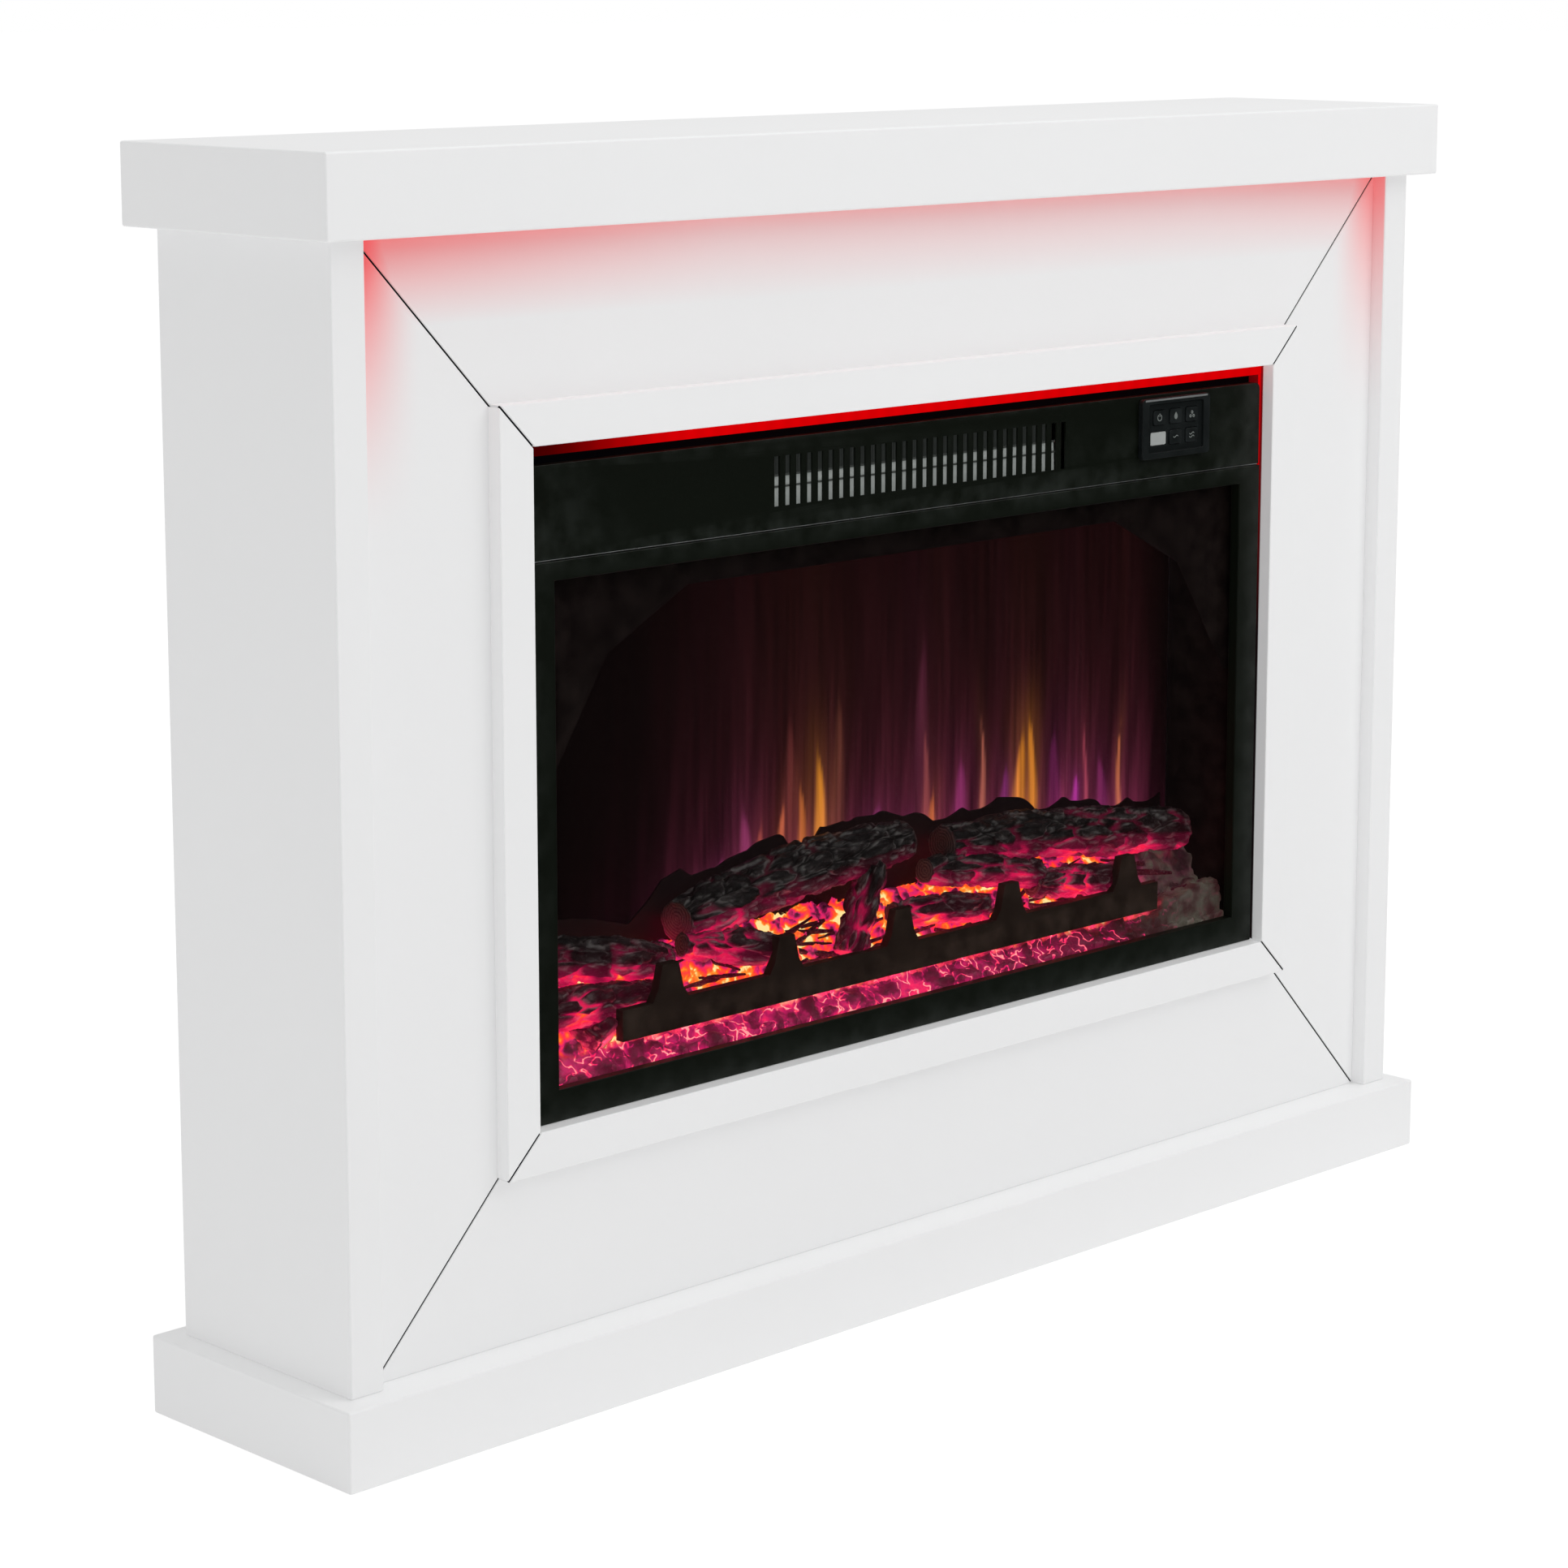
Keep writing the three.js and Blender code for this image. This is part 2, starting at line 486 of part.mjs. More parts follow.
function addChamber() {
  const linerDepth = [GLASS_BACK + ARCH.sheet + 2 * GAP, SCREEN_FRONT - GAP];
  const top = CEILING_BASE - GAP;
  for (const [name, side] of [["left_chamber_liner", -1], ["right_chamber_liner", 1]]) {
    const x = [side * LINER_INSIDE, side * (LINER_INSIDE + CHAMBER.liner)].sort((a, b) => a - b);
    part(name, block(x, linerDepth, [FLOOR, top]), blackSteel);
  }
  const ceilingHalf = CASING_HALF - INSERT.sheet - GAP;
  const ceilingHeight = [CEILING_BASE, CEILING_BASE + CHAMBER.liner];
  const ceiling = block([-ceilingHalf, ceilingHalf], [CASING_FRONT, CASING_BACK - GAP], ceilingHeight);
  part("chamber_ceiling", ceiling, blackSteel);

  // The arch behind the glass cuts off the view's top corners in two slants.
  const foot = [WINDOW_HALF, WINDOW_TOP - ARCH.footDrop];
  const shoulder = [WINDOW_HALF - ARCH.shoulderIn, WINDOW_TOP - ARCH.shoulderDrop];
  const crown = [WINDOW_HALF - ARCH.crownIn, WINDOW_TOP - ARCH.crownDrop];
  const right = [crown, shoulder, foot, [LINER_INSIDE, foot[1]], [LINER_INSIDE, top]];
  const left = right.map(([x, z]) => [-x, z]).reverse();
  part("chamber_arch", frontPlate(outline([...right, ...left]), GLASS_BACK + GAP, ARCH.sheet), blackSteel);

  const screenDepth = [SCREEN_FRONT, SCREEN_FRONT + SCREEN_SHEET];
  part("flame_screen", block([-LINER_INSIDE, LINER_INSIDE], screenDepth, [FLOOR, top]), screenFilm);
}

// A log is a bent, tapered bar with flat facets, given by its two ends, its radii and how far its middle rises.
// An end is x from the middle of the firebox, y behind the glass and z above the casing's floor.
const LOGS = [
  { name: "rear_left_log", from: [-196, 40, 97], to: [34, 40, 122], radii: [18, 21, 16], rise: 5 },
  { name: "rear_right_log", from: [76, 41, 111], to: [346, 40, 83], radii: [16, 20, 17], rise: 3 },
  { name: "upper_left_log", from: [-348, 40, 95], to: [-214, 34, 73], radii: [16, 17, 13], rise: 2 },
  { name: "lower_left_log", from: [-348, 26, 57], to: [-230, 24, 54], radii: [14, 15, 11], rise: 3 },
  { name: "front_left_log", from: [-284, 16, 35], to: [-298, 46, 56], radii: [16, 16, 14], rise: 0 },
  { name: "middle_left_log", from: [-204, 28, 85], to: [-122, 20, 68], radii: [10, 14, 13], rise: 2 },
  { name: "upright_log", from: [-8, 30, 113], to: [-44, 20, 51], radii: [12, 13, 12], rise: 0 },
  { name: "middle_right_log", from: [44, 29, 98], to: [168, 28, 77], radii: [11, 14, 12], rise: 2 },
  { name: "short_right_log", from: [4, 22, 74], to: [100, 21, 62], radii: [10, 12, 11], rise: 1 },
  { name: "front_right_log", from: [158, 24, 71], to: [250, 19, 59], radii: [11, 13, 12], rise: 1 },
];
const BARK = { sides: 10, rings: 7, knobble: 0.06, wave: 2.4 };

const acrossFirebox = (x) => (x * LINER_INSIDE) / LOG_SET.halfWidth;
// The front half of the set keeps its place behind the glass, and the back half its place before the screen.
const behindGlass = (y) => (y < LOG_SET.depth / 2 ? GLASS_BACK + y : SCREEN_FRONT - (LOG_SET.depth - y));

function logSolid(log, grown = 0) {
  const place = ([x, y, z]) => new THREE.Vector3(acrossFirebox(x), behindGlass(y), FLOOR + z);
  const [from, to] = [place(log.from), place(log.to)];
  const axis = to.clone().sub(from).normalize();
  const length = from.distanceTo(to) + 2 * grown;
  const [first, middle, last] = log.radii;
  const profile = [new THREE.Vector2(0, -length / 2)];
  for (let i = 0; i <= BARK.rings; i++) {
    const t = i / BARK.rings;
    const bulge = 2 * middle - (first + last) / 2;
    const radius = first * (1 - t) ** 2 + bulge * 2 * t * (1 - t) + last * t ** 2;
    const knobbly = radius * (1 + BARK.knobble * Math.sin(i * BARK.wave + first));
    profile.push(new THREE.Vector2(knobbly + grown, (t - 0.5) * length));
  }
  profile.push(new THREE.Vector2(0, length / 2));
  const made = new THREE.LatheGeometry(profile, BARK.sides);
  const position = made.attributes.position;
  for (let i = 0; i < position.count; i++) {
    const t = position.getY(i) / length + 0.5;
    position.setX(i, position.getX(i) + 4 * log.rise * t * (1 - t));
  }
  const upward = new THREE.Vector3(0, 0, 1).addScaledVector(axis, -axis.z).normalize();
  const turn = new THREE.Matrix4().makeBasis(upward, axis, upward.clone().cross(axis));
  const middleOf = from.clone().add(to).multiplyScalar(0.5);
  return solid(made.applyMatrix4(turn).translate(middleOf.x, middleOf.y, middleOf.z));
}

// The log guard is a bar with upright prongs.
function guardSolid(grown = 0) {
  const [low, high] = [FLOOR + GUARD.base - grown, FLOOR + GUARD.base + GUARD.bar + grown];
  const end = acrossFirebox(GUARD.halfWidth) + grown;
  const points = [[-end, low], [end, low], [end, high]];
  for (const x of GUARD.prongs.map(acrossFirebox).reverse()) {
    const [root, neck, tip] = [PRONG.root, PRONG.neck, PRONG.tip].map((width) => width / 2 + grown);
    const [neckTop, tipTop] = [high + PRONG.neckRise, high + PRONG.rise];
    points.push([x + root, high], [x + neck, neckTop], [x + tip, tipTop]);
    points.push([x - tip, tipTop], [x - neck, neckTop], [x - root, high]);
  }
  points.push([-end, high]);
  const front = GLASS_BACK + GUARD.behindGlass - grown;
  return solid(frontPlate(outline(points), front, GUARD.sheet + 2 * grown));
}

// The ember bed rises from the glass to the screen, over a hollow that takes its lights.
function bedSolid() {
  const [front, back, half] = [GLASS_BACK + GAP, SCREEN_FRONT - GAP, LINER_INSIDE - GAP];
  const at = (share, rise) => [
    front + share * (back - front),
    FLOOR + HEARTH.front + rise * (HEARTH.back - HEARTH.front),
  ];
  const slope = [[front, FLOOR], [back, FLOOR], at(1, 1), at(0.66, 0.78), at(0.4, 0.3), at(0.15, 0.08), at(0, 0)];
  const hollow = block(
    [HEARTH.end - half, half - HEARTH.end],
    [front + HEARTH.rim, back - HEARTH.rim],
    [FLOOR - 1, FLOOR + HEARTH.shell],
  );
  return solid(sidePlate(outline(slope), -half, 2 * half)).subtract(solid(hollow));
}

// Each log is cut by the logs before it, the guard by every log, and the bed by the logs and the guard.
function addHearth() {
  const less = (whole, tools) => tools.reduce((made, tool) => made.subtract(tool), whole);
  const grownLogs = LOGS.map((log) => logSolid(log, GAP));
  LOGS.forEach((log, i) => {
    part(log.name, geometryOf(less(logSolid(log), grownLogs.slice(0, i))), charredResin);
  });
  part("log_guard", geometryOf(less(guardSolid(), grownLogs)), blackSteel);
  part("ember_bed", geometryOf(less(bedSolid(), [...grownLogs, guardSolid(GAP)])), emberResin);
}

// ---- Flame effect -------------------------------------------------------------------------------------------

// The spindle lies along the back of the flame screen, from its motor on the left to its bearing on the right.
function addFlameEffect() {
  const { y, z } = SPINDLE_AT;
  const motorEnd = SPINDLE_MOTOR.length - LINER_INSIDE;
  const bearingEnd = LINER_INSIDE - SPINDLE.endGap;
  const pieces = [barX(SPINDLE.radius, motorEnd + GAP, bearingEnd + SPINDLE.journal, y, z, 12)];
  const [firstVane, lastVane] = [motorEnd + VANE.fromEnd, bearingEnd - VANE.fromEnd];
  for (let i = 0; i < VANE.stations; i++) {
    const x = firstVane + (i / (VANE.stations - 1)) * (lastVane - firstVane);
    for (let k = 0; k < VANE.around; k++) {
      const vane = block([-VANE.width / 2, VANE.width / 2], [0, VANE.reach], [0, VANE.sheet]);
      pieces.push(vane.rotateX((k / VANE.around + i * VANE.twist) * 2 * Math.PI).translate(x, y, z));
    }
  }
  part("flame_spindle", joined(...pieces), aluminium);
  part("spindle_motor", barX(SPINDLE_MOTOR.radius, -LINER_INSIDE, motorEnd, y, z, 24), zincSteel);

  const [eyeLow, eyeHigh] = [bearingEnd - BEARING.width, bearingEnd];
  const foot = block([eyeLow, eyeHigh], [y - BEARING.radius, y + BEARING.radius], [FLOOR, z]);
  const eye = barX(BEARING.radius, eyeLow, eyeHigh, y, z, 20);
  const bore = barX(SPINDLE.radius + GAP, eyeLow - 1, eyeHigh + 1, y, z, 12);
  part("spindle_bearing", cut(joined(foot, eye), bore), blackPlastic);
}

// One light board shines up past the spindle, and one up through the ember bed.
function addLightBoards() {
  const half = LINER_INSIDE - BOARD.fromEnd;
  const between = (GLASS_BACK + SCREEN_FRONT) / 2;
  const places = [
    ["flame_light_board", SPINDLE_AT.y],
    ["ember_light_board", between],
  ];
  for (const [name, y] of places) {
    const base = FLOOR + HEARTH.shell / 3;
    const depth = [y - BOARD.width / 2, y + BOARD.width / 2];
    part(name, block([-half, half], depth, [base, base + BOARD.sheet]), circuitBoard);
  }
}

// ---- Fan heater ---------------------------------------------------------------------------------------------

function addImpeller(plateAt, motorAt) {
  const { y, z } = FAN_AT;
  const half = IMPELLER.length / 2;
  const shaft = barX(IMPELLER.shaft, -plateAt - FAN_HOUSING.sheet - GAP, motorAt - GAP, y, z, 12);
  const pieces = [shaft];
  for (const x of [-half, -IMPELLER.disc / 2, half - IMPELLER.disc]) {
    pieces.push(barX(IMPELLER.radius, x, x + IMPELLER.disc, y, z, 24));
  }
  const reach = IMPELLER.radius * Math.cos(Math.PI / 24); // inside the discs' flats
  for (let i = 0; i < IMPELLER.blades; i++) {
    const depth = [reach - IMPELLER.bladeDepth, reach];
    const blade = block([0.5 - half, half - 0.5], depth, [0, IMPELLER.bladeSheet]);
    pieces.push(blade.rotateX((i / IMPELLER.blades) * 2 * Math.PI).translate(0, y, z));
  }
  part("fan_impeller", joined(...pieces), aluminium);
}

// The scroll runs from the mouth, under the impeller, up its back and over its top, between two end plates.
function addFanHousing(plateAt) {
  const { y, z } = FAN_AT;
  const [inner, outer, sheet] = [SCROLL_RADIUS - FAN_HOUSING.sheet, SCROLL_RADIUS, FAN_HOUSING.sheet];
  const scroll = new THREE.Shape();
  scroll.moveTo(y - FAN_HOUSING.mouth, z - outer);
  scroll.lineTo(y, z - outer);
  scroll.absarc(y, z, outer, -Math.PI / 2, FAN_HOUSING.lip, false);
  scroll.absarc(y, z, inner, FAN_HOUSING.lip, -Math.PI / 2, true);
  scroll.lineTo(y - FAN_HOUSING.mouth, z - inner);
  const shell = joined(
    sidePlate(scroll, -plateAt - sheet, 2 * (plateAt + sheet)),
    barX((inner + outer) / 2, plateAt, plateAt + sheet, y, z, 32),
    barX((inner + outer) / 2, -plateAt - sheet, -plateAt, y, z, 32),
  );
  const bore = barX(IMPELLER.shaft + GAP, -plateAt - 2 * sheet, plateAt + 2 * sheet, y, z, 16);
  part("fan_housing", cut(shell, bore), zincSteel);
}

function addFanMotor(motorAt) {
  const { y, z } = FAN_AT;
  const half = FAN_MOTOR.side / 2;
  const stack = block([motorAt, motorAt + FAN_MOTOR.length / 2], [y - half, y + half], [z - half, z + half]);
  const coil = barX(FAN_MOTOR.coil, motorAt, motorAt + FAN_MOTOR.length, y, z, 20);
  part("fan_motor", joined(stack, coil), copperCoil);
}

function addFan() {
  const plateAt = IMPELLER.length / 2 + FAN_HOUSING.endGap;
  const motorAt = plateAt + FAN_HOUSING.sheet + FAN_MOTOR.gap;
  addImpeller(plateAt, motorAt);
  addFanHousing(plateAt);
  addFanMotor(motorAt);
}

// The heater is a frame of long bars right behind the outlet slots.
function addHeatingElement() {
  const half = HEATER.width / 2;
  const low = OUTLET_BASE - HEATER.underOutlet;
  const pitch = (HEATER.height - 2 * HEATER.rim + HEATER.bar) / HEATER.rows;
  const windows = [];
  for (let row = 0; row < HEATER.rows; row++) {
    const base = low + HEATER.rim + row * pitch;
    windows.push(rectangle(HEATER.rim - half, half - HEATER.rim, base, base + pitch - HEATER.bar).reverse());
  }
  const frame = outline(rectangle(-half, half, low, low + HEATER.height), windows);
  part("heating_element", frontPlate(frame, CASING_FRONT + HEATER.behindFront, HEATER.depth), aluminium);
}

addMantel();
addPlinthAndSides();
addFascia();
addFrame();
addCarcassBoards();
addWallBrackets();
addLights();
addWindowFrame();
addControlBand();
addBezel();
addCells();
addControlBoard();
addCasing();
addChamber();
addHearth();
addFlameEffect();
addLightBoards();
addFan();
addHeatingElement();

export default fireplace;
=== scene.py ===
# Looks for the electric fireplace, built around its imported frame. Metres, +Z up, front towards -Y.
import json
import math

import bmesh
import bpy
import numpy as np
from mathutils import Matrix, Vector

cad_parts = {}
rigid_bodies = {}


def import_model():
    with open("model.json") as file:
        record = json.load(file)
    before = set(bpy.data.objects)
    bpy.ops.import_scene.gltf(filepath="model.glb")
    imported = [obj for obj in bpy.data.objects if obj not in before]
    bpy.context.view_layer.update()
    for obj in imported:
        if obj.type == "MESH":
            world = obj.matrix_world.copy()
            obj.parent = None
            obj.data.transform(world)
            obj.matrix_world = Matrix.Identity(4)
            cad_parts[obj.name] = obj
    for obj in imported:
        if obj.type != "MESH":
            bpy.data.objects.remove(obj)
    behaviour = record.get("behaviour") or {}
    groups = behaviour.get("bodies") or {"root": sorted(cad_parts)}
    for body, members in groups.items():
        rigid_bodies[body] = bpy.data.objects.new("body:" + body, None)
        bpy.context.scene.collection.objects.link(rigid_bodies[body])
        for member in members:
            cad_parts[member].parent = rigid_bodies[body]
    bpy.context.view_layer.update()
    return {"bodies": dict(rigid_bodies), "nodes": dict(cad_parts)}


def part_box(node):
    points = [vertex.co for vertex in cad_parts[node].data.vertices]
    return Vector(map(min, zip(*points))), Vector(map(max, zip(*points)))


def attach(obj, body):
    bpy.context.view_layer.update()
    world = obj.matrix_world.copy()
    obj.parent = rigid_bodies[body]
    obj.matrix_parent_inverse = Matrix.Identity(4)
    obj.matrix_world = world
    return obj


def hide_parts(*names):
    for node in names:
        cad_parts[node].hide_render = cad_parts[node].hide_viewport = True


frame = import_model()
nodes = frame["nodes"]
fireBody = "fireplace"
millimetre = 0.001
buttonNames = ["power_button", "flame_button", "ember_button", "low_heat_button", "high_heat_button"]


def link(obj):
    bpy.context.scene.collection.objects.link(obj)
    return obj


def addNode(tree, kind, inputs=None, **settings):
    made = tree.nodes.new(kind)
    for key, value in settings.items():
        setattr(made, key, value)
    for key, value in (inputs or {}).items():
        if isinstance(value, bpy.types.NodeSocket):
            tree.links.new(value, made.inputs[key])
        else:
            made.inputs[key].default_value = value
    return made


def maths(tree, operation, a, b=0.0):
    return addNode(tree, "ShaderNodeMath", {0: a, 1: b}, operation=operation).outputs[0]


def times(tree, a, b):
    return maths(tree, "MULTIPLY", a, b)


def plus(tree, a, b):
    return maths(tree, "ADD", a, b)


def minus(tree, a, b):
    return maths(tree, "SUBTRACT", a, b)


def vectors(tree, operation, a, b):
    made = addNode(tree, "ShaderNodeVectorMath", {0: a, 1: b}, operation=operation)
    return made.outputs["Value" if operation in ("DOT_PRODUCT", "DISTANCE") else 0]


def scaled(tree, vector, factor):
    return addNode(tree, "ShaderNodeVectorMath", {0: vector, "Scale": factor}, operation="SCALE").outputs[0]


def axesOf(tree, vector):
    return addNode(tree, "ShaderNodeSeparateXYZ", {0: vector}).outputs


def objectPlace(tree):
    return addNode(tree, "ShaderNodeTexCoord").outputs["Object"]


def noise(tree, place, scale, detail, output=0):
    made = addNode(tree, "ShaderNodeTexNoise", {"Vector": place, "Scale": scale, "Detail": detail})
    return made.outputs[output]


def edgeDistance(tree, place, scale):
    inputs = {"Vector": place, "Scale": scale}
    return addNode(tree, "ShaderNodeTexVoronoi", inputs, feature="DISTANCE_TO_EDGE").outputs["Distance"]


def span(tree, value, low, high, toLow=0.0, toHigh=1.0, smooth=False):
    inputs = {"Value": value, "From Min": low, "From Max": high, "To Min": toLow, "To Max": toHigh}
    kind = "SMOOTHSTEP" if smooth else "LINEAR"
    return addNode(tree, "ShaderNodeMapRange", inputs, interpolation_type=kind).outputs[0]


def mixColour(tree, factor, a, b):
    made = addNode(tree, "ShaderNodeMix", data_type="RGBA")
    for index, value in ((0, factor), (6, a), (7, b)):
        if isinstance(value, bpy.types.NodeSocket):
            tree.links.new(value, made.inputs[index])
        else:
            made.inputs[index].default_value = value if index == 0 else (*value, 1.0)
    return made.outputs[2]


def ramp(tree, value, *stops):
    made = addNode(tree, "ShaderNodeValToRGB", {0: value})
    elements = made.color_ramp.elements
    while len(elements) < len(stops):
        elements.new(0.5)
    for element, (place, colour) in zip(elements, stops):
        element.position = place
        element.color = (*colour, 1.0)
    return made.outputs[0]


def meshObject(name, verts, faces):
    mesh = bpy.data.meshes.new(name)
    mesh.from_pydata([tuple(v) for v in verts], [], faces)
    mesh.validate()
    return link(bpy.data.objects.new(name, mesh))


def boxMesh(name, low, high):
    corners = [(x, y, z) for x in (low[0], high[0]) for y in (low[1], high[1]) for z in (low[2], high[2])]
    faces = [(0, 1, 3, 2), (4, 6, 7, 5), (0, 4, 5, 1), (2, 3, 7, 6), (0, 2, 6, 4), (1, 5, 7, 3)]
    return meshObject(name, corners, faces)


def prismFaces(count, first=0):
    # points are numbered round the front of a prism and then round its back
    last = first + 2 * count - 1
    faces = [tuple(range(first, first + count)), tuple(range(last, last - count, -1))]
    for i in range(count):
        this, following = first + i, first + (i + 1) % count
        faces.append((this, this + count, following + count, following))
    return faces


def plateMesh(name, outline, front, back):
    # an outline of (x, z) points, anticlockwise seen from the front, made into a plate between two depths
    return meshObject(
        name, [(x, y, z) for y in (front, back) for x, z in outline], prismFaces(len(outline)),
    )


def mend(obj, merge=0.0, outward=True):
    # joins points that are closer than a distance, and turns the faces outwards
    bm = bmesh.new()
    bm.from_mesh(obj.data)
    if merge:
        bmesh.ops.remove_doubles(bm, verts=bm.verts, dist=merge)
    if outward:
        bmesh.ops.recalc_face_normals(bm, faces=bm.faces)
    bm.to_mesh(obj.data)
    bm.free()
    return obj


def applied(obj):
    # keeps the plain mesh that an object's modifiers make
    bpy.context.view_layer.update()
    obj.data = bpy.data.meshes.new_from_object(obj.evaluated_get(bpy.context.evaluated_depsgraph_get()))
    obj.modifiers.clear()
    return obj


def smoothAll(obj):
    obj.data.polygons.foreach_set("use_smooth", [True] * len(obj.data.polygons))
    return obj


def soften(obj, width, segments=2, angle=25, dissolve=True):
    # rounds every sharp edge of a mesh, after its triangles are joined into whole faces
    bm = bmesh.new()
    bm.from_mesh(obj.data)
    bmesh.ops.remove_doubles(bm, verts=bm.verts, dist=1e-5)
    if dissolve:
        bmesh.ops.dissolve_limit(bm, angle_limit=math.radians(1), verts=bm.verts, edges=bm.edges)
    sharp = [e for e in bm.edges if len(e.link_faces) == 2 and e.calc_face_angle() > math.radians(angle)]
    bmesh.ops.bevel(
        bm, geom=sharp, offset=width, offset_type="OFFSET", segments=segments, profile=0.5,
        affect="EDGES", clamp_overlap=True,
    )
    bm.to_mesh(obj.data)
    bm.free()
    shadeSmooth(obj)


def shadeSmooth(obj):
    weighted = smoothAll(obj).modifiers.new("even_normals", "WEIGHTED_NORMAL")
    weighted.weight = 100
    weighted.keep_sharp = True


def finish(obj, material, slotName, *replaced, body=fireBody):
    if material is not None:
        obj.data.materials.clear()
        obj.data.materials.append(material)
    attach(obj, body)
    if replaced:
        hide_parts(*replaced)
    return obj


def bodyOf(nodeName):
    return nodeName if nodeName in frame["bodies"] else fireBody


def copyOfNode(nodeName):
    mesh = nodes[nodeName].data.copy()
    mesh.materials.clear()
    return link(bpy.data.objects.new(nodeName + "_finished", mesh))


def softNode(nodeName, width, material, slotName, segments=2):
    piece = copyOfNode(nodeName)
    soften(piece, width, segments)
    return finish(piece, material, slotName, nodeName, body=bodyOf(nodeName))


def paintNode(nodeName, material):
    for slot in nodes[nodeName].material_slots:
        slot.material = material


sockets = {"float": "NodeSocketFloat", "vector": "NodeSocketVector", "object": "NodeSocketObject",
           "material": "NodeSocketMaterial", "int": "NodeSocketInt"}


def newTree(name, **inputs):
    tree = bpy.data.node_groups.new(name, "GeometryNodeTree")
    tree.interface.new_socket("Geometry", in_out="INPUT", socket_type="NodeSocketGeometry")
    for label, (kind, default) in inputs.items():
        made = tree.interface.new_socket(label, in_out="INPUT", socket_type=sockets[kind])
        if default is not None:
            made.default_value = default
    tree.interface.new_socket("Geometry", in_out="OUTPUT", socket_type="NodeSocketGeometry")
    return tree, tree.nodes.new("NodeGroupInput").outputs


def endTree(tree, geometry, material):
    realized = addNode(tree, "GeometryNodeRealizeInstances", {"Geometry": geometry})
    painted = addNode(
        tree, "GeometryNodeSetMaterial", {"Geometry": realized.outputs[0], "Material": material},
    )
    tree.links.new(painted.outputs[0], tree.nodes.new("NodeGroupOutput").inputs[0])


def grow(obj, tree, **values):
    # runs a tree on an object
    modifier = obj.modifiers.new(tree.name, "NODES")
    modifier.node_group = tree
    named = {item.name: item.identifier for item in tree.interface.items_tree if item.in_out == "INPUT"}
    for label, value in values.items():
        modifier[named[label]] = value
    return applied(obj)


def scatterTree():
    # one copy of a template at each point of the mesh that comes in
    tree, given = newTree(
        "placeCopies", Template=("object", None), Turn=("vector", (0, 0, 0)), Material=("material", None)
    )
    info = addNode(tree, "GeometryNodeObjectInfo", {"Object": given["Template"]})
    placed = addNode(
        tree, "GeometryNodeInstanceOnPoints",
        {"Points": given["Geometry"], "Instance": info.outputs["Geometry"], "Rotation": given["Turn"]},
    )
    endTree(tree, placed.outputs[0], given["Material"])
    return tree


def slotTree():
    # cuts a row of upright slots, one rectangular opening and a hollow behind them out of a plate
    tree, given = newTree(
        "cutOutlet", Count=("int", 3), Pitch=("float", 0.01), Slot=("vector", (0.005, 0.02, 0.03)),
        Middle=("vector", (0, 0, 0)), Opening=("vector", (0.07, 0.02, 0.04)),
        Place=("vector", (0.2, 0, 0)), Hollow=("vector", (0.7, 0.01, 0.05)),
        HollowPlace=("vector", (0, 0, 0)), Material=("material", None),
    )
    last = minus(tree, given["Count"], 1.0)
    half = times(tree, times(tree, last, given["Pitch"]), -0.5)
    start = addNode(tree, "ShaderNodeCombineXYZ", {"X": half})
    begin = vectors(tree, "ADD", start.outputs[0], given["Middle"])
    step = addNode(tree, "ShaderNodeCombineXYZ", {"X": given["Pitch"]})
    row = addNode(
        tree, "GeometryNodeMeshLine",
        {"Count": given["Count"], "Start Location": begin, "Offset": step.outputs[0]},
    )
    slot = addNode(tree, "GeometryNodeMeshCube", {"Size": given["Slot"]})
    slots = addNode(
        tree, "GeometryNodeInstanceOnPoints", {"Points": row.outputs[0], "Instance": slot.outputs[0]}
    )
    realized = addNode(tree, "GeometryNodeRealizeInstances", {"Geometry": slots.outputs[0]})
    cut = addNode(
        tree, "GeometryNodeMeshBoolean", {"Mesh 1": given["Geometry"], "Self Intersection": True},
        operation="DIFFERENCE", solver="EXACT",
    )
    tree.links.new(realized.outputs[0], cut.inputs["Mesh 2"])
    for size, place in (("Opening", "Place"), ("Hollow", "HollowPlace")):
        cutter = addNode(tree, "GeometryNodeMeshCube", {"Size": given[size]}).outputs[0]
        moved = addNode(tree, "GeometryNodeTransform", {"Geometry": cutter, "Translation": given[place]})
        tree.links.new(moved.outputs[0], cut.inputs["Mesh 2"])
    endTree(tree, cut.outputs[0], given["Material"])
    return tree


def store(tree, geometry, name, value, kind="FLOAT"):
    inputs = {"Geometry": geometry, "Name": name, "Value": value}
    return addNode(tree, "GeometryNodeStoreNamedAttribute", inputs, data_type=kind).outputs[0]


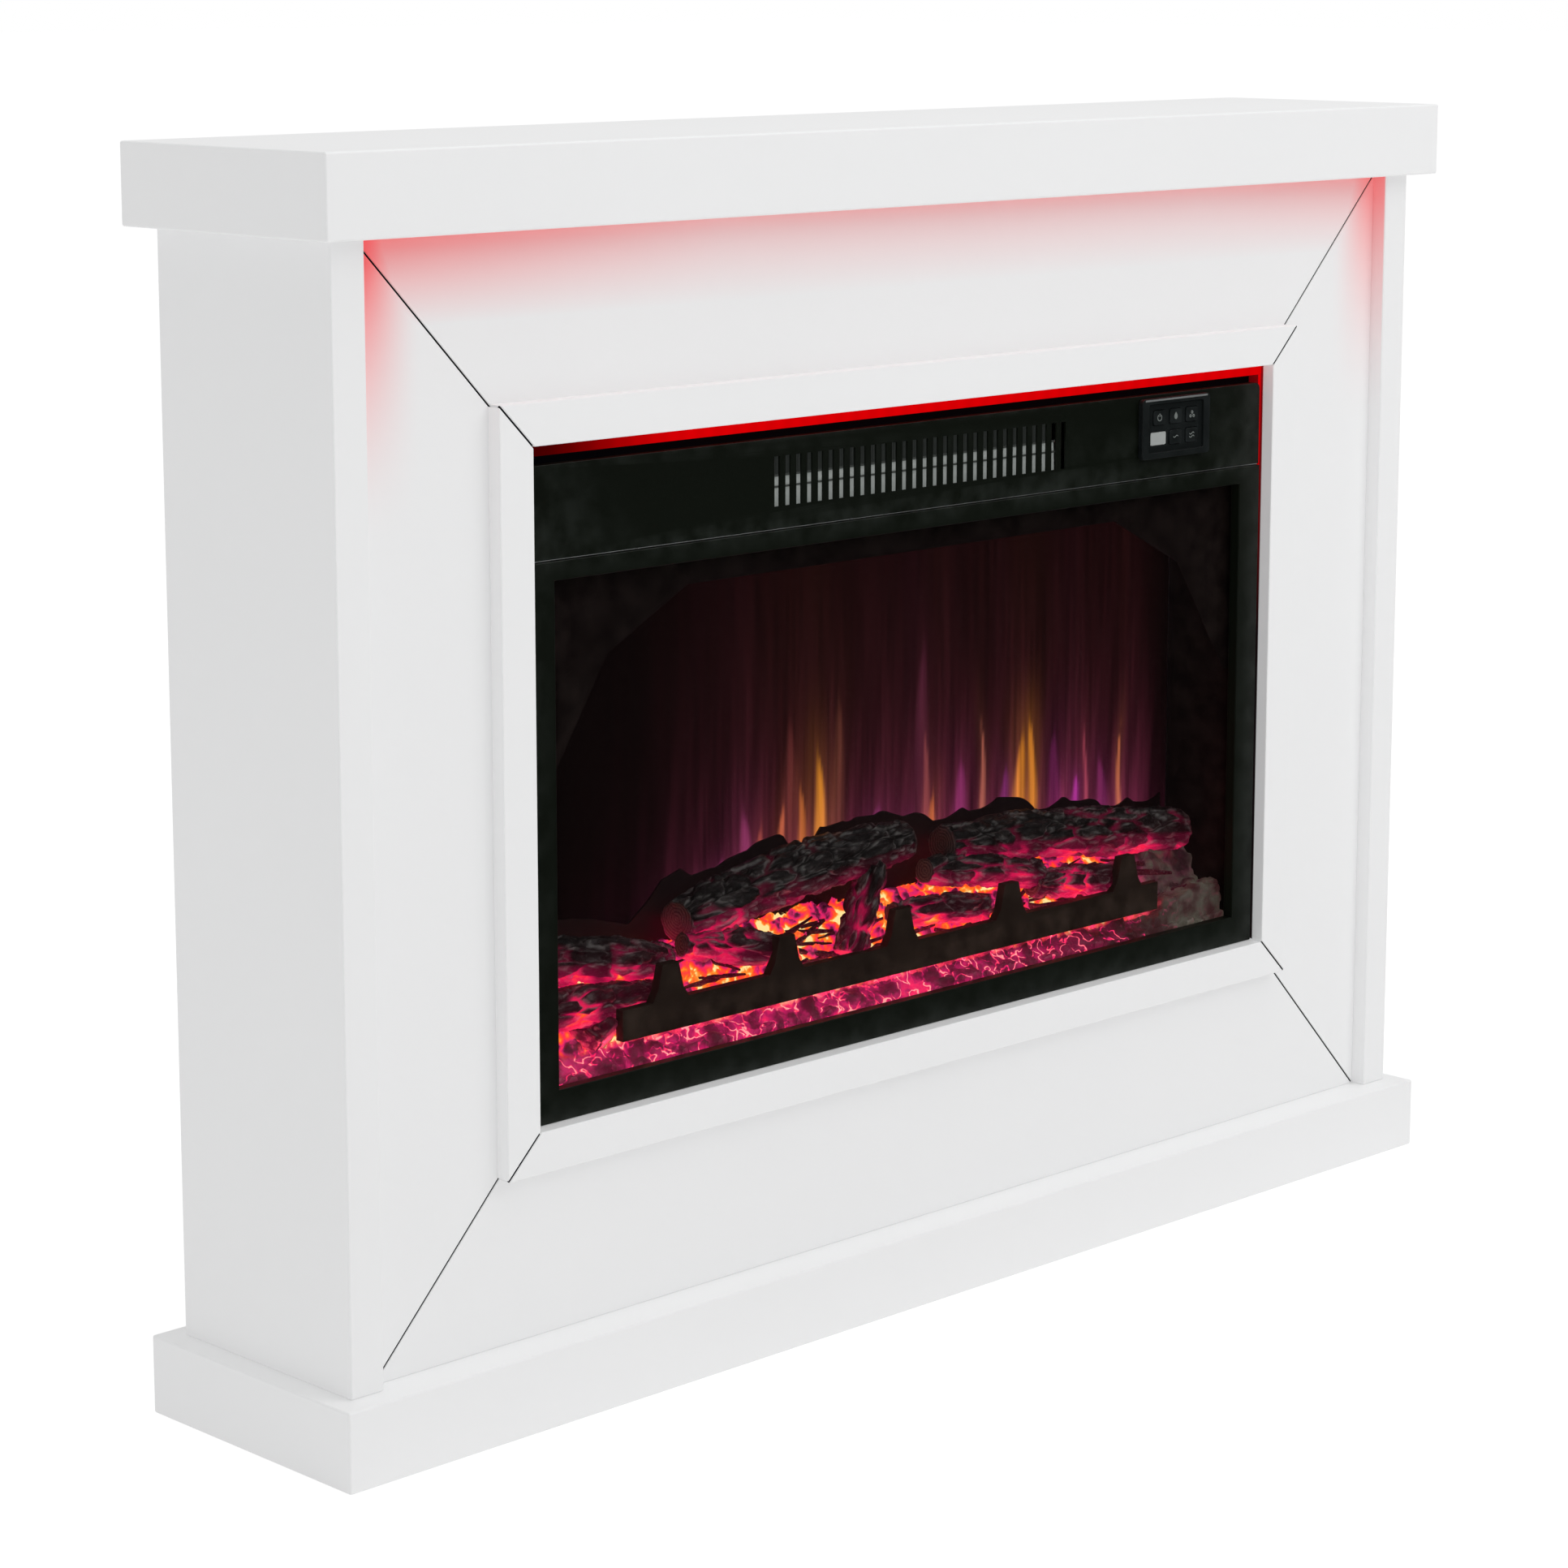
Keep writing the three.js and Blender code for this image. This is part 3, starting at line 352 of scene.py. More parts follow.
def barkTree():
    # splits a log's skin into long plates with cracks between them, and marks cracks, sawn ends and rings
    tree, given = newTree(
        "growBark", Axis=("vector", (1, 0, 0)), Centre=("vector", (0, 0, 0)), Plate=("float", 90.0),
        Stretch=("float", 0.3), Depth=("float", 0.0016), Lumps=("float", 0.0022), Seed=("float", 0.0),
        Material=("material", None),
    )
    place = addNode(tree, "GeometryNodeInputPosition").outputs[0]
    normal = addNode(tree, "GeometryNodeInputNormal").outputs[0]
    local = vectors(tree, "SUBTRACT", place, given["Centre"])
    along = vectors(tree, "DOT_PRODUCT", local, given["Axis"])
    squeeze = times(tree, along, minus(tree, given["Stretch"], 1.0))
    shift = scaled(tree, given["Axis"], squeeze)
    grain = vectors(tree, "ADD", local, shift)
    seeded = addNode(tree, "ShaderNodeCombineXYZ", {"X": given["Seed"], "Y": given["Seed"]}).outputs[0]
    spread = vectors(tree, "ADD", grain, seeded)
    pushed = scaled(tree, noise(tree, spread, 60.0, 2.0, "Color"), 0.012)
    skin = vectors(tree, "ADD", spread, pushed)
    plates = edgeDistance(tree, skin, given["Plate"])
    crack = span(tree, plates, 0.0, 0.16, 1.0, 0.0, smooth=True)
    fine = noise(tree, skin, 420.0, 3.0)
    lumps = noise(tree, spread, 45.0, 1.0)
    outward = vectors(tree, "DOT_PRODUCT", normal, given["Axis"])
    cap = span(tree, maths(tree, "ABSOLUTE", outward), 0.6, 0.9, smooth=True)
    # radial distance from the log's axis, for the rings of a sawn end
    onAxis = scaled(tree, given["Axis"], along)
    radial = vectors(tree, "DISTANCE", local, onAxis)
    uneven = plus(tree, times(tree, radial, 2600.0), times(tree, lumps, 9.0))
    rings = maths(tree, "MULTIPLY_ADD", maths(tree, "SINE", uneven), 0.5)
    tree.nodes[-1].inputs[2].default_value = 0.5
    side = minus(tree, 1.0, cap)
    barkLift = times(tree, times(tree, crack, given["Depth"]), -1.0)
    fineLift = times(tree, minus(tree, fine, 0.5), times(tree, given["Depth"], 1.3))
    lumpLift = times(tree, minus(tree, lumps, 0.5), given["Lumps"])
    ringLift = times(tree, times(tree, rings, cap), 0.0005)
    skinLift = times(tree, plus(tree, barkLift, fineLift), side)
    lift = plus(tree, plus(tree, skinLift, lumpLift), ringLift)
    offset = scaled(tree, normal, lift)
    marked = store(tree, given["Geometry"], "crack", times(tree, crack, side))
    marked = store(tree, marked, "cap", cap)
    marked = store(tree, marked, "ring", rings)
    marked = store(tree, marked, "grain", skin, "FLOAT_VECTOR")
    tilt = axesOf(tree, normal)["Z"]
    marked = store(tree, marked, "under", span(tree, tilt, 0.25, -0.75, smooth=True))
    moved = addNode(tree, "GeometryNodeSetPosition", {"Geometry": marked, "Offset": offset})
    endTree(tree, moved.outputs[0], given["Material"])
    return tree


def coalTree():
    # raises coals out of a bed and marks the cracks between them
    tree, given = newTree(
        "growCoals", Coal=("float", 42.0), Height=("float", 0.004), Fine=("float", 130.0),
        Material=("material", None),
    )
    place = addNode(tree, "GeometryNodeInputPosition").outputs[0]
    normal = addNode(tree, "GeometryNodeInputNormal").outputs[0]
    pushed = scaled(tree, noise(tree, place, 55.0, 2.0, "Color"), 0.02)
    warped = vectors(tree, "ADD", place, pushed)
    edge = edgeDistance(tree, warped, given["Coal"])
    smallEdge = edgeDistance(tree, warped, given["Fine"])
    coal = span(tree, edge, 0.0, 0.3, smooth=True)
    small = span(tree, smallEdge, 0.0, 0.3, smooth=True)
    tilt = axesOf(tree, normal)["Z"]
    upper = span(tree, tilt, -0.2, 0.3, smooth=True)
    lift = plus(tree, minus(tree, coal, 0.6), times(tree, small, 0.3))
    lift = times(tree, times(tree, lift, given["Height"]), upper)
    offset = scaled(tree, normal, lift)
    marked = store(tree, given["Geometry"], "crack", span(tree, edge, 0.0, 0.17, 1.0, 0.0, smooth=True))
    marked = store(tree, marked, "fineCrack", span(tree, smallEdge, 0.0, 0.14, 1.0, 0.0, smooth=True))
    moved = addNode(tree, "GeometryNodeSetPosition", {"Geometry": marked, "Offset": offset})
    endTree(tree, moved.outputs[0], given["Material"])
    return tree


def newGroup(name, inputs, outputs):
    group = bpy.data.node_groups.new(name, "ShaderNodeTree")
    for label, default in inputs.items():
        kind = "NodeSocketColor" if isinstance(default, tuple) else "NodeSocketFloat"
        socket = group.interface.new_socket(label, in_out="INPUT", socket_type=kind)
        socket.default_value = (*default, 1.0) if isinstance(default, tuple) else default
    for label, kind in outputs.items():
        group.interface.new_socket(label, in_out="OUTPUT", socket_type=kind)
    return group, group.nodes.new("NodeGroupInput").outputs, group.nodes.new("NodeGroupOutput").inputs


def grainGroup():
    # a coat's fine grain: a colour that wanders a little, a roughness, and a height for bump
    group, given, out = newGroup(
        "coatGrain",
        {"Colour": (0.8, 0.8, 0.8), "Drift": 0.03, "Grain scale": 900.0, "Roughness": 0.4, "Spread": 0.08},
        {"Colour": "NodeSocketColor", "Roughness": "NodeSocketFloat", "Height": "NodeSocketFloat"},
    )
    place = objectPlace(group)
    broad = noise(group, place, 7.0, 3.0)
    fine = noise(group, place, given["Grain scale"], 2.0)
    centred = minus(group, plus(group, times(group, broad, 0.6), times(group, fine, 0.4)), 0.5)
    gain = plus(group, times(group, times(group, centred, 2.0), given["Drift"]), 1.0)
    group.links.new(scaled(group, given["Colour"], gain), out["Colour"])
    rough = plus(group, given["Roughness"], times(group, centred, given["Spread"]))
    group.links.new(rough, out["Roughness"])
    group.links.new(fine, out["Height"])
    return group


def wearGroup():
    # 1 along convex edges, broken up by noise
    group, given, out = newGroup(
        "edgeWear", {"Low": 0.51, "High": 0.6, "Scale": 60.0}, {"Mask": "NodeSocketFloat"}
    )
    point = addNode(group, "ShaderNodeNewGeometry").outputs["Pointiness"]
    place = objectPlace(group)
    patchy = noise(group, place, given["Scale"], 3.0)
    edge = span(group, point, given["Low"], given["High"])
    group.links.new(times(group, edge, span(group, patchy, 0.35, 0.7)), out["Mask"])
    return group


def brushedGroup():
    # long fine lines along X on rolled or brushed sheet
    group, given, out = newGroup(
        "brushedLines", {"Colour": (0.6, 0.6, 0.6), "Roughness": 0.35, "Fineness": 1400.0},
        {"Colour": "NodeSocketColor", "Roughness": "NodeSocketFloat", "Height": "NodeSocketFloat"},
    )
    place = objectPlace(group)
    stretched = addNode(group, "ShaderNodeMapping", {"Vector": place, "Scale": (0.02, 1.0, 1.0)}).outputs[0]
    lines = noise(group, stretched, given["Fineness"], 2.0)
    cloud = noise(group, place, 14.0, 3.0)
    gain = plus(group, span(group, lines, 0.3, 0.7, -0.06, 0.06), span(group, cloud, 0.3, 0.7, 0.92, 1.06))
    group.links.new(scaled(group, given["Colour"], gain), out["Colour"])
    rough = plus(group, given["Roughness"], span(group, lines, 0.3, 0.7, -0.06, 0.08))
    group.links.new(rough, out["Roughness"])
    group.links.new(lines, out["Height"])
    return group


coatGrain = grainGroup()
edgeWear = wearGroup()
brushedLines = brushedGroup()


def newMaterial(name, **plain):
    material = bpy.data.materials.new(name)
    material.use_nodes = True
    shader = material.node_tree.nodes["Principled BSDF"]
    for label, value in plain.items():
        socket = shader.inputs[label.replace("_", " ")]
        socket.default_value = (*value, 1.0) if isinstance(value, tuple) and len(value) == 3 else value
    return material, material.node_tree, shader


def useGroup(tree, group, **values):
    made = addNode(tree, "ShaderNodeGroup", node_tree=group)
    for label, value in values.items():
        socket = made.inputs[label.replace("_", " ")]
        socket.default_value = (*value, 1.0) if isinstance(value, tuple) else value
    return made.outputs


def feed(shader, **given):
    # links sockets to a shader's inputs
    for label, value in given.items():
        shader.id_data.links.new(value, shader.inputs[label.replace("_", " ")])


def bump(tree, shader, height, strength, distance):
    made = addNode(tree, "ShaderNodeBump", {"Height": height, "Strength": strength, "Distance": distance})
    feed(shader, Normal=made.outputs[0])


def coated(
    name, colour, roughness, drift, grainScale, bumpStrength, bumpDepth, wornColour=None, spread=0.06,
    **plain,
):
    material, tree, shader = newMaterial(name, **plain)
    coat = useGroup(
        tree, coatGrain, Colour=colour, Drift=drift, Grain_scale=grainScale, Roughness=roughness,
        Spread=spread,
    )
    shown = coat["Colour"]
    if wornColour:
        shown = mixColour(tree, useGroup(tree, edgeWear)["Mask"], shown, wornColour)
    feed(shader, Base_Color=shown, Roughness=coat["Roughness"])
    bump(tree, shader, coat["Height"], bumpStrength, bumpDepth)
    return material


def brushed(name, colour, roughness, fineness=1400.0):
    material, tree, shader = newMaterial(name, Metallic=1.0)
    lines = useGroup(tree, brushedLines, Colour=colour, Roughness=roughness, Fineness=fineness)
    feed(shader, Base_Color=lines["Colour"], Roughness=lines["Roughness"])
    bump(tree, shader, lines["Height"], 0.15, 0.0002)
    return material


def attribute(tree, name, output="Fac"):
    return addNode(tree, "ShaderNodeAttribute", attribute_name=name).outputs[output]


def rawBoardMaterial():
    # the unpainted back of a fibreboard: pressed fibres, a little blotchy
    material, tree, shader = newMaterial("raw_fibreboard", Roughness=0.85)
    place = objectPlace(tree)
    fibre = noise(tree, place, 520.0, 5.0)
    blotch = noise(tree, place, 18.0, 4.0)
    tone = plus(tree, times(tree, fibre, 0.6), times(tree, blotch, 0.4))
    colour = ramp(tree, tone, (0.3, (0.25, 0.155, 0.085)), (0.7, (0.42, 0.29, 0.175)))
    feed(shader, Base_Color=colour)
    bump(tree, shader, fibre, 0.3, 0.0003)
    return material


def charredMaterial():
    # dark resin bark: grey plate tops, partly ash and partly painted highlights, black cracks, and a painted
    # glow from the embers below
    material, tree, shader = newMaterial("charred_bark", Emission_Strength=1.8)
    place = objectPlace(tree)
    grain = attribute(tree, "grain", "Vector")  # object place, squeezed along the log
    ash = addNode(
        tree, "ShaderNodeTexNoise", {"Vector": grain, "Scale": 190.0, "Detail": 6.0, "Roughness": 0.62}
    ).outputs[0]
    crack = attribute(tree, "crack")
    cap = attribute(tree, "cap")
    # the grey peaks are partly ash and partly painted highlights
    bark = ramp(
        tree, ash, (0.45, (0.008, 0.005, 0.005)), (0.56, (0.035, 0.027, 0.026)),
        (0.68, (0.17, 0.155, 0.15)),
    )
    # bright rims along the edges of the bark plates: painted highlights where the edges catch the light
    rim = times(tree, crack, minus(tree, 1.0, crack))
    rim = times(tree, span(tree, rim, 0.08, 0.24), span(tree, ash, 0.44, 0.6))
    bark = mixColour(tree, rim, bark, (0.42, 0.4, 0.385))
    wood = mixColour(tree, attribute(tree, "ring"), (0.03, 0.014, 0.014), (0.26, 0.16, 0.155))
    shown = mixColour(tree, cap, bark, wood)
    shown = mixColour(tree, times(tree, crack, 0.85), shown, (0.006, 0.004, 0.004))
    feed(shader, Base_Color=shown)
    feed(shader, Roughness=span(tree, ash, 0.3, 0.7, 0.55, 0.26))
    # the embers' light on the logs' undersides is painted as a glow, and the cracks glow too, both only near
    # the bed
    glowPatches = noise(tree, place, 26.0, 2.0)
    under = times(tree, attribute(tree, "under"), span(tree, glowPatches, 0.35, 0.65, 0.25, 1.0))
    depth = axesOf(tree, place)["Z"]
    near = span(tree, depth, 0.328, 0.25, 0.1, 1.0)
    vein = times(tree, maths(tree, "POWER", crack, 1.5), span(tree, glowPatches, 0.46, 0.6))
    heat = plus(tree, times(tree, maths(tree, "POWER", under, 1.3), 0.82), times(tree, vein, 0.55))
    heat = times(tree, near, plus(tree, heat, 0.06))
    glow = ramp(
        tree, heat, (0.02, (0.0, 0.0, 0.0)), (0.2, (0.12, 0.002, 0.022)), (0.4, (0.62, 0.006, 0.075)),
        (0.62, (1.0, 0.015, 0.07)), (0.8, (1.0, 0.1, 0.015)), (1.0, (1.0, 0.38, 0.06)),
    )
    feed(shader, Emission_Color=glow)
    fine = noise(tree, grain, 420.0, 4.0)
    bump(tree, shader, plus(tree, fine, ash), 0.8, 0.0016)
    return material


def emberMaterial():
    # translucent resin coals lit from below: hot cracks, magenta sides, and dull red in front of the guard
    material, tree, shader = newMaterial("glowing_embers", Emission_Strength=1.9)
    place = objectPlace(tree)
    axes = axesOf(tree, place)
    broad = noise(tree, place, 15.0, 2.0)
    patch = noise(tree, place, 60.0, 3.0)
    crack = attribute(tree, "crack")
    fine = attribute(tree, "fineCrack")
    behind = span(tree, axes["Y"], -0.0515, -0.0425, smooth=True)
    fadeEnds = times(tree, span(tree, axes["X"], -0.37, -0.30), span(tree, axes["X"], 0.315, 0.24))
    hot = plus(tree, times(tree, crack, 0.42), times(tree, fine, 0.2))
    hot = plus(tree, hot, span(tree, patch, 0.38, 0.62, 0.1, 0.68))
    hot = times(tree, hot, span(tree, broad, 0.32, 0.54, 0.68, 1.12))
    # in front of the guard: short squiggles of light over a dull red resin
    curl = noise(tree, place, 95.0, 1.0)
    away = maths(tree, "ABSOLUTE", minus(tree, curl, 0.5))
    squiggle = times(tree, span(tree, away, 0.04, 0.004, smooth=True), span(tree, patch, 0.42, 0.54))
    dull = times(
        tree, span(tree, patch, 0.36, 0.64, 0.18, 0.58), span(tree, axes["X"], 0.28, 0.0, 0.25, 1.0),
    )
    sparse = plus(tree, times(tree, squiggle, 0.68), times(tree, crack, 0.1))
    sparse = times(tree, plus(tree, sparse, dull), span(tree, fadeEnds, 0.0, 1.0, 0.3, 1.0))
    drips = ramp(
        tree, sparse, (0.1, (0.024, 0.004, 0.006)), (0.32, (0.15, 0.006, 0.035)), (0.5, (0.46, 0.01, 0.1)),
        (0.7, (1.0, 0.02, 0.12)), (0.88, (1.0, 0.08, 0.14)), (1.0, (1.0, 0.34, 0.34)),
    )
    heat = times(tree, hot, span(tree, fadeEnds, 0.0, 1.0, 0.16, 1.0))
    glow = ramp(
        tree, heat, (0.08, (0.012, 0.001, 0.004)), (0.26, (0.13, 0.006, 0.042)),
        (0.42, (0.68, 0.016, 0.14)), (0.58, (1.0, 0.02, 0.05)), (0.74, (1.0, 0.09, 0.006)),
        (0.9, (1.0, 0.28, 0.02)), (1.0, (1.0, 0.75, 0.3)),
    )
    glow = mixColour(tree, behind, drips, glow)
    # the last of the bed is cold, with a little room light painted on it as a faint grey glow
    cold = times(tree, span(tree, axes["X"], 0.25, 0.31), span(tree, patch, 0.42, 0.62, 0.1, 1.0))
    glow = mixColour(tree, cold, glow, (0.036, 0.034, 0.025))
    feed(shader, Emission_Color=glow)
    ash = ramp(tree, patch, (0.35, (0.05, 0.036, 0.032)), (0.7, (0.2, 0.165, 0.145)))
    ends = span(tree, fadeEnds, 0.0, 1.0, 1.0, 0.0)
    ash = mixColour(tree, maths(tree, "MAXIMUM", behind, ends), (0.04, 0.014, 0.014), ash)
    feed(shader, Base_Color=ash, Roughness=span(tree, patch, 0.3, 0.7, 0.5, 0.3))
    grit = noise(tree, place, 700.0, 4.0)
    bump(tree, shader, grit, 0.5, 0.0008)
    return material


def flameMaterial():
    # the lit film: its light is stored on the mesh, and fine upright streaks are drawn through it here
    material, tree, shader = newMaterial(
        "flame_film", Base_Color=(0.003, 0.001, 0.001), Roughness=0.7, Specular_IOR_Level=0.05,
        Emission_Strength=1.0,
    )
    place = objectPlace(tree)
    tall = addNode(tree, "ShaderNodeMapping", {"Vector": place, "Scale": (1.0, 1.0, 0.035)}).outputs[0]
    streak = noise(tree, tall, 210.0, 3.0)
    light = attribute(tree, "filmLight", "Color")
    gain = span(tree, streak, 0.3, 0.7, 0.62, 1.3)
    lit = scaled(tree, light, gain)
    feed(shader, Emission_Color=lit)
    return material


def lampMaterial(name, colour, strength, fade=None, axis="X"):
    # a red diffuser with faint spots from the lamps behind it
    material, tree, shader = newMaterial(
        name, Base_Color=(0.03, 0.0, 0.0), Roughness=0.6, Specular_IOR_Level=0.0, Emission_Strength=strength
    )
    place = objectPlace(tree)
    across = axesOf(tree, place)[axis]
    wave = maths(tree, "SINE", times(tree, across, 2 * math.pi / 0.0167))
    gain = span(tree, wave, -1.0, 1.0, 0.96, 1.03)
    if fade:
        gain = times(tree, gain, span(tree, across, fade[0], fade[1], 0.05, 1.0, smooth=True))
    rgb = scaled(tree, colour, gain)
    feed(shader, Emission_Color=rgb)
    return material


def stripLitPaintMaterial():
    # white paint with the red strip's light from under the mantel painted into it: along the top, and down
    # both inner edges
    material, tree, shader = newMaterial("strip_lit_paint", Emission_Strength=paintLook["lift"])
    coat = useGroup(
        tree, coatGrain, Colour=paintLook["colour"], Drift=paintLook["drift"], Grain_scale=1100.0,
        Roughness=paintLook["roughness"], Spread=0.12,
    )
    place = objectPlace(tree)
    axes = axesOf(tree, place)
    aside = maths(tree, "ABSOLUTE", axes["X"])
    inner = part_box("right_side_board")[0].x
    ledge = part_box("mantel_light_strip")[0].z
    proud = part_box("right_side_board")[0].y
    # where the strip's red light is painted: along the top, strongest towards the left end, and down both
    # inner edges
    outer = plus(
        tree, span(tree, axes["X"], -0.2, -0.5, 0.30, 0.70), span(tree, axes["X"], 0.3, 0.5, 0.0, 0.14),
    )
    top = times(tree, span(tree, axes["Z"], ledge - 0.059, ledge - 0.008), outer)
    edge = span(tree, aside, inner - 0.055, inner - 0.005, smooth=True)
    fall = maths(tree, "POWER", span(tree, axes["Z"], ledge - 0.2, ledge - 0.017), 2.0)
    side = times(tree, times(tree, edge, fall), span(tree, axes["X"], -0.1, 0.1, 1.0, 0.7))
    stripLightMask = maths(tree, "MAXIMUM", top, side)
    stripLightMask = times(tree, stripLightMask, span(tree, aside, inner + 0.0008, inner + 0.0002))
    stripLightMask = times(tree, stripLightMask, span(tree, axes["Y"], proud + 0.0005, proud + 0.0015))
    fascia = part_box("fascia_top")[0].y
    stripLightMask = times(tree, stripLightMask, span(tree, axes["Y"], fascia + 0.0012, fascia + 0.0006))
    tint = mixColour(tree, stripLightMask, coat["Colour"], paintLook["stripLight"])
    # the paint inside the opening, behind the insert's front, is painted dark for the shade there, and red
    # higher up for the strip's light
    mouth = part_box("frame_right")[0].x
    foot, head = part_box("frame_bottom")[1].z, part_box("frame_top")[0].z
    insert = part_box("window_frame")[0].y
    inside = times(
        tree, span(tree, aside, mouth + 0.0006, mouth + 0.0003),
        span(tree, axes["Y"], insert - 0.0007, insert + 0.0001),
    )
    level = times(
        tree, span(tree, axes["Z"], head + 0.0007, head + 0.0002),
        span(tree, axes["Z"], foot + 0.0002, foot + 0.0006),
    )
    inside = times(tree, inside, level)
    reveal = mixColour(tree, span(tree, axes["Z"], 0.45, 0.64), (0.012, 0.006, 0.007), (0.3, 0.002, 0.006))
    tint = mixColour(tree, inside, tint, reveal)
    # the paint also glows with this colour: painted light that brightens it, the red light included
    feed(shader, Base_Color=tint, Emission_Color=tint, Roughness=coat["Roughness"])
    bump(tree, shader, coat["Height"], 0.06, 0.0002)
    return material


# the paints glow a little with their own colour, painted light that brightens them, and carry the red strip's
# light painted into them
paintLook = {
    "colour": (0.8, 0.802, 0.805), "roughness": 0.42, "drift": 0.012, "stripLight": (0.94, 0.15, 0.16), "lift": 0.17,
}
# white paint that glows a little with its own colour: painted light that brightens it
whitePaint = coated(
    "white_paint", paintLook["colour"], paintLook["roughness"], paintLook["drift"], 1100.0, 0.06, 0.0002,
    Emission_Color=paintLook["colour"], Emission_Strength=paintLook["lift"],
)
stripLitPaint = stripLitPaintMaterial()
blackCoat = coated(
    "black_coat", (0.0046, 0.007, 0.0038), 0.42, 0.12, 1300.0, 0.4, 0.0003, wornColour=(0.03, 0.036, 0.031),
    Specular_IOR_Level=0.17,
)
chamberCoat = coated(
    "chamber_coat", (0.0062, 0.0022, 0.0018), 0.55, 0.2, 1300.0, 0.4, 0.0003,
    wornColour=(0.03, 0.02, 0.017), Specular_IOR_Level=0.12,
)
guardCoat = coated(
    "guard_coat", (0.035, 0.019, 0.0105), 0.6, 0.25, 900.0, 0.5, 0.0004, wornColour=(0.09, 0.058, 0.04),
    Specular_IOR_Level=0.25,
)
blackPlastic = coated(
    "black_plastic", (0.006, 0.0085, 0.0085), 0.4, 0.12, 1600.0, 0.2, 0.0002, (0.03, 0.036, 0.037),
    Specular_IOR_Level=0.3,
)
# lit and shaded copies of one aluminium, for the heater behind the slots: the bright one glows, painted light;
# the dark one, with only a faint glow, is painted shade
litMetal = coated(
    "lit_metal", (0.5, 0.51, 0.5), 0.35, 0.5, 240.0, 0.2, 0.0002, Emission_Color=(0.8, 0.9, 0.84),
    Emission_Strength=0.13,
)
shadedMetal = coated(
    "shaded_metal", (0.1, 0.11, 0.1), 0.45, 0.4, 300.0, 0.2, 0.0002, Emission_Color=(0.8, 0.9, 0.84),
    Emission_Strength=0.012,
)
# a near-black coat that paints shade: on the casing's lid and the seal in the gap over the insert, and deep in
# the open mitres
shadeCoat = coated(
    "shade_coat", (0.004, 0.0045, 0.0075), 0.85, 0.15, 900.0, 0.2, 0.0002, Specular_IOR_Level=0.03,
)
# a bright metal strip that paints the highlight along the band's lower edge
seamHighlight = brushed("seam_highlight", (0.35, 0.36, 0.36), 0.4)
# a grey that paints the highlight on the bezel's top edge
lipHighlight = coated("lip_highlight", (0.16, 0.17, 0.17), 0.4, 0.15, 700.0, 0.15, 0.0001)
greenBoard = coated("circuit_green", (0.03, 0.16, 0.06), 0.35, 0.2, 800.0, 0.1, 0.0001)
copperWire = brushed("copper_wire", (0.72, 0.36, 0.2), 0.35, 700.0)
zincSheet = brushed("zinc_sheet", (0.56, 0.58, 0.6), 0.38, 260.0)
brightSheet = brushed("bright_sheet", (0.8, 0.81, 0.82), 0.3)
screwSteel = brushed("screw_steel", (0.45, 0.45, 0.46), 0.28, 900.0)
rawBoard = rawBoardMaterial()
charredBark = charredMaterial()
glowingEmbers = emberMaterial()
flameFilm = flameMaterial()
logBacking = coated("log_backing", (0.016, 0.004, 0.006), 0.6, 0.3, 600.0, 0.2, 0.0002)
print("materials made")


cameraPlace = {
    "location": (-2.103, -2.074, 0.977), "turn": -44.49, "pitch": 9.85, "lens": 93.57, "shift": -0.08
}
studio = {
    "world": 0.6, "backdrop": 1.0, "floorGlow": 0.15, "flag": 0.03, "floor": 40.0, "seen": 1.25,
    "share": 0.6,
}
# each light: its place, its target, its size and its power
lamps = {"key_light": ((1.5, -2.5, 2.6), (0, 0, 0.5), (2.2, 1.8), 23.0),
         "top_light": ((0.2, -0.6, 3.4), (0, 0, 0.4), (3.0, 2.4), 22.5)}


def makeCamera():
    data = bpy.data.cameras.new("camera")
    data.lens = cameraPlace["lens"]
    data.sensor_width = 36.0
    data.shift_y = cameraPlace["shift"]
    data.clip_end = 80.0
    obj = link(bpy.data.objects.new("camera", data))
    obj.location = cameraPlace["location"]
    obj.rotation_euler = (math.radians(90 - cameraPlace["pitch"]), 0, math.radians(cameraPlace["turn"]))
    bpy.context.scene.camera = obj


def areaLight(name, place, target, size, power, colour=(1, 1, 1)):
    data = bpy.data.lights.new(name, "AREA")
    data.shape = "RECTANGLE"
    data.size, data.size_y = size
    data.energy = power
    data.color = colour
    obj = link(bpy.data.objects.new(name, data))
    obj.location = place
    obj.rotation_euler = (Vector(target) - Vector(place)).to_track_quat("-Z", "Y").to_euler()
    obj.visible_camera = False


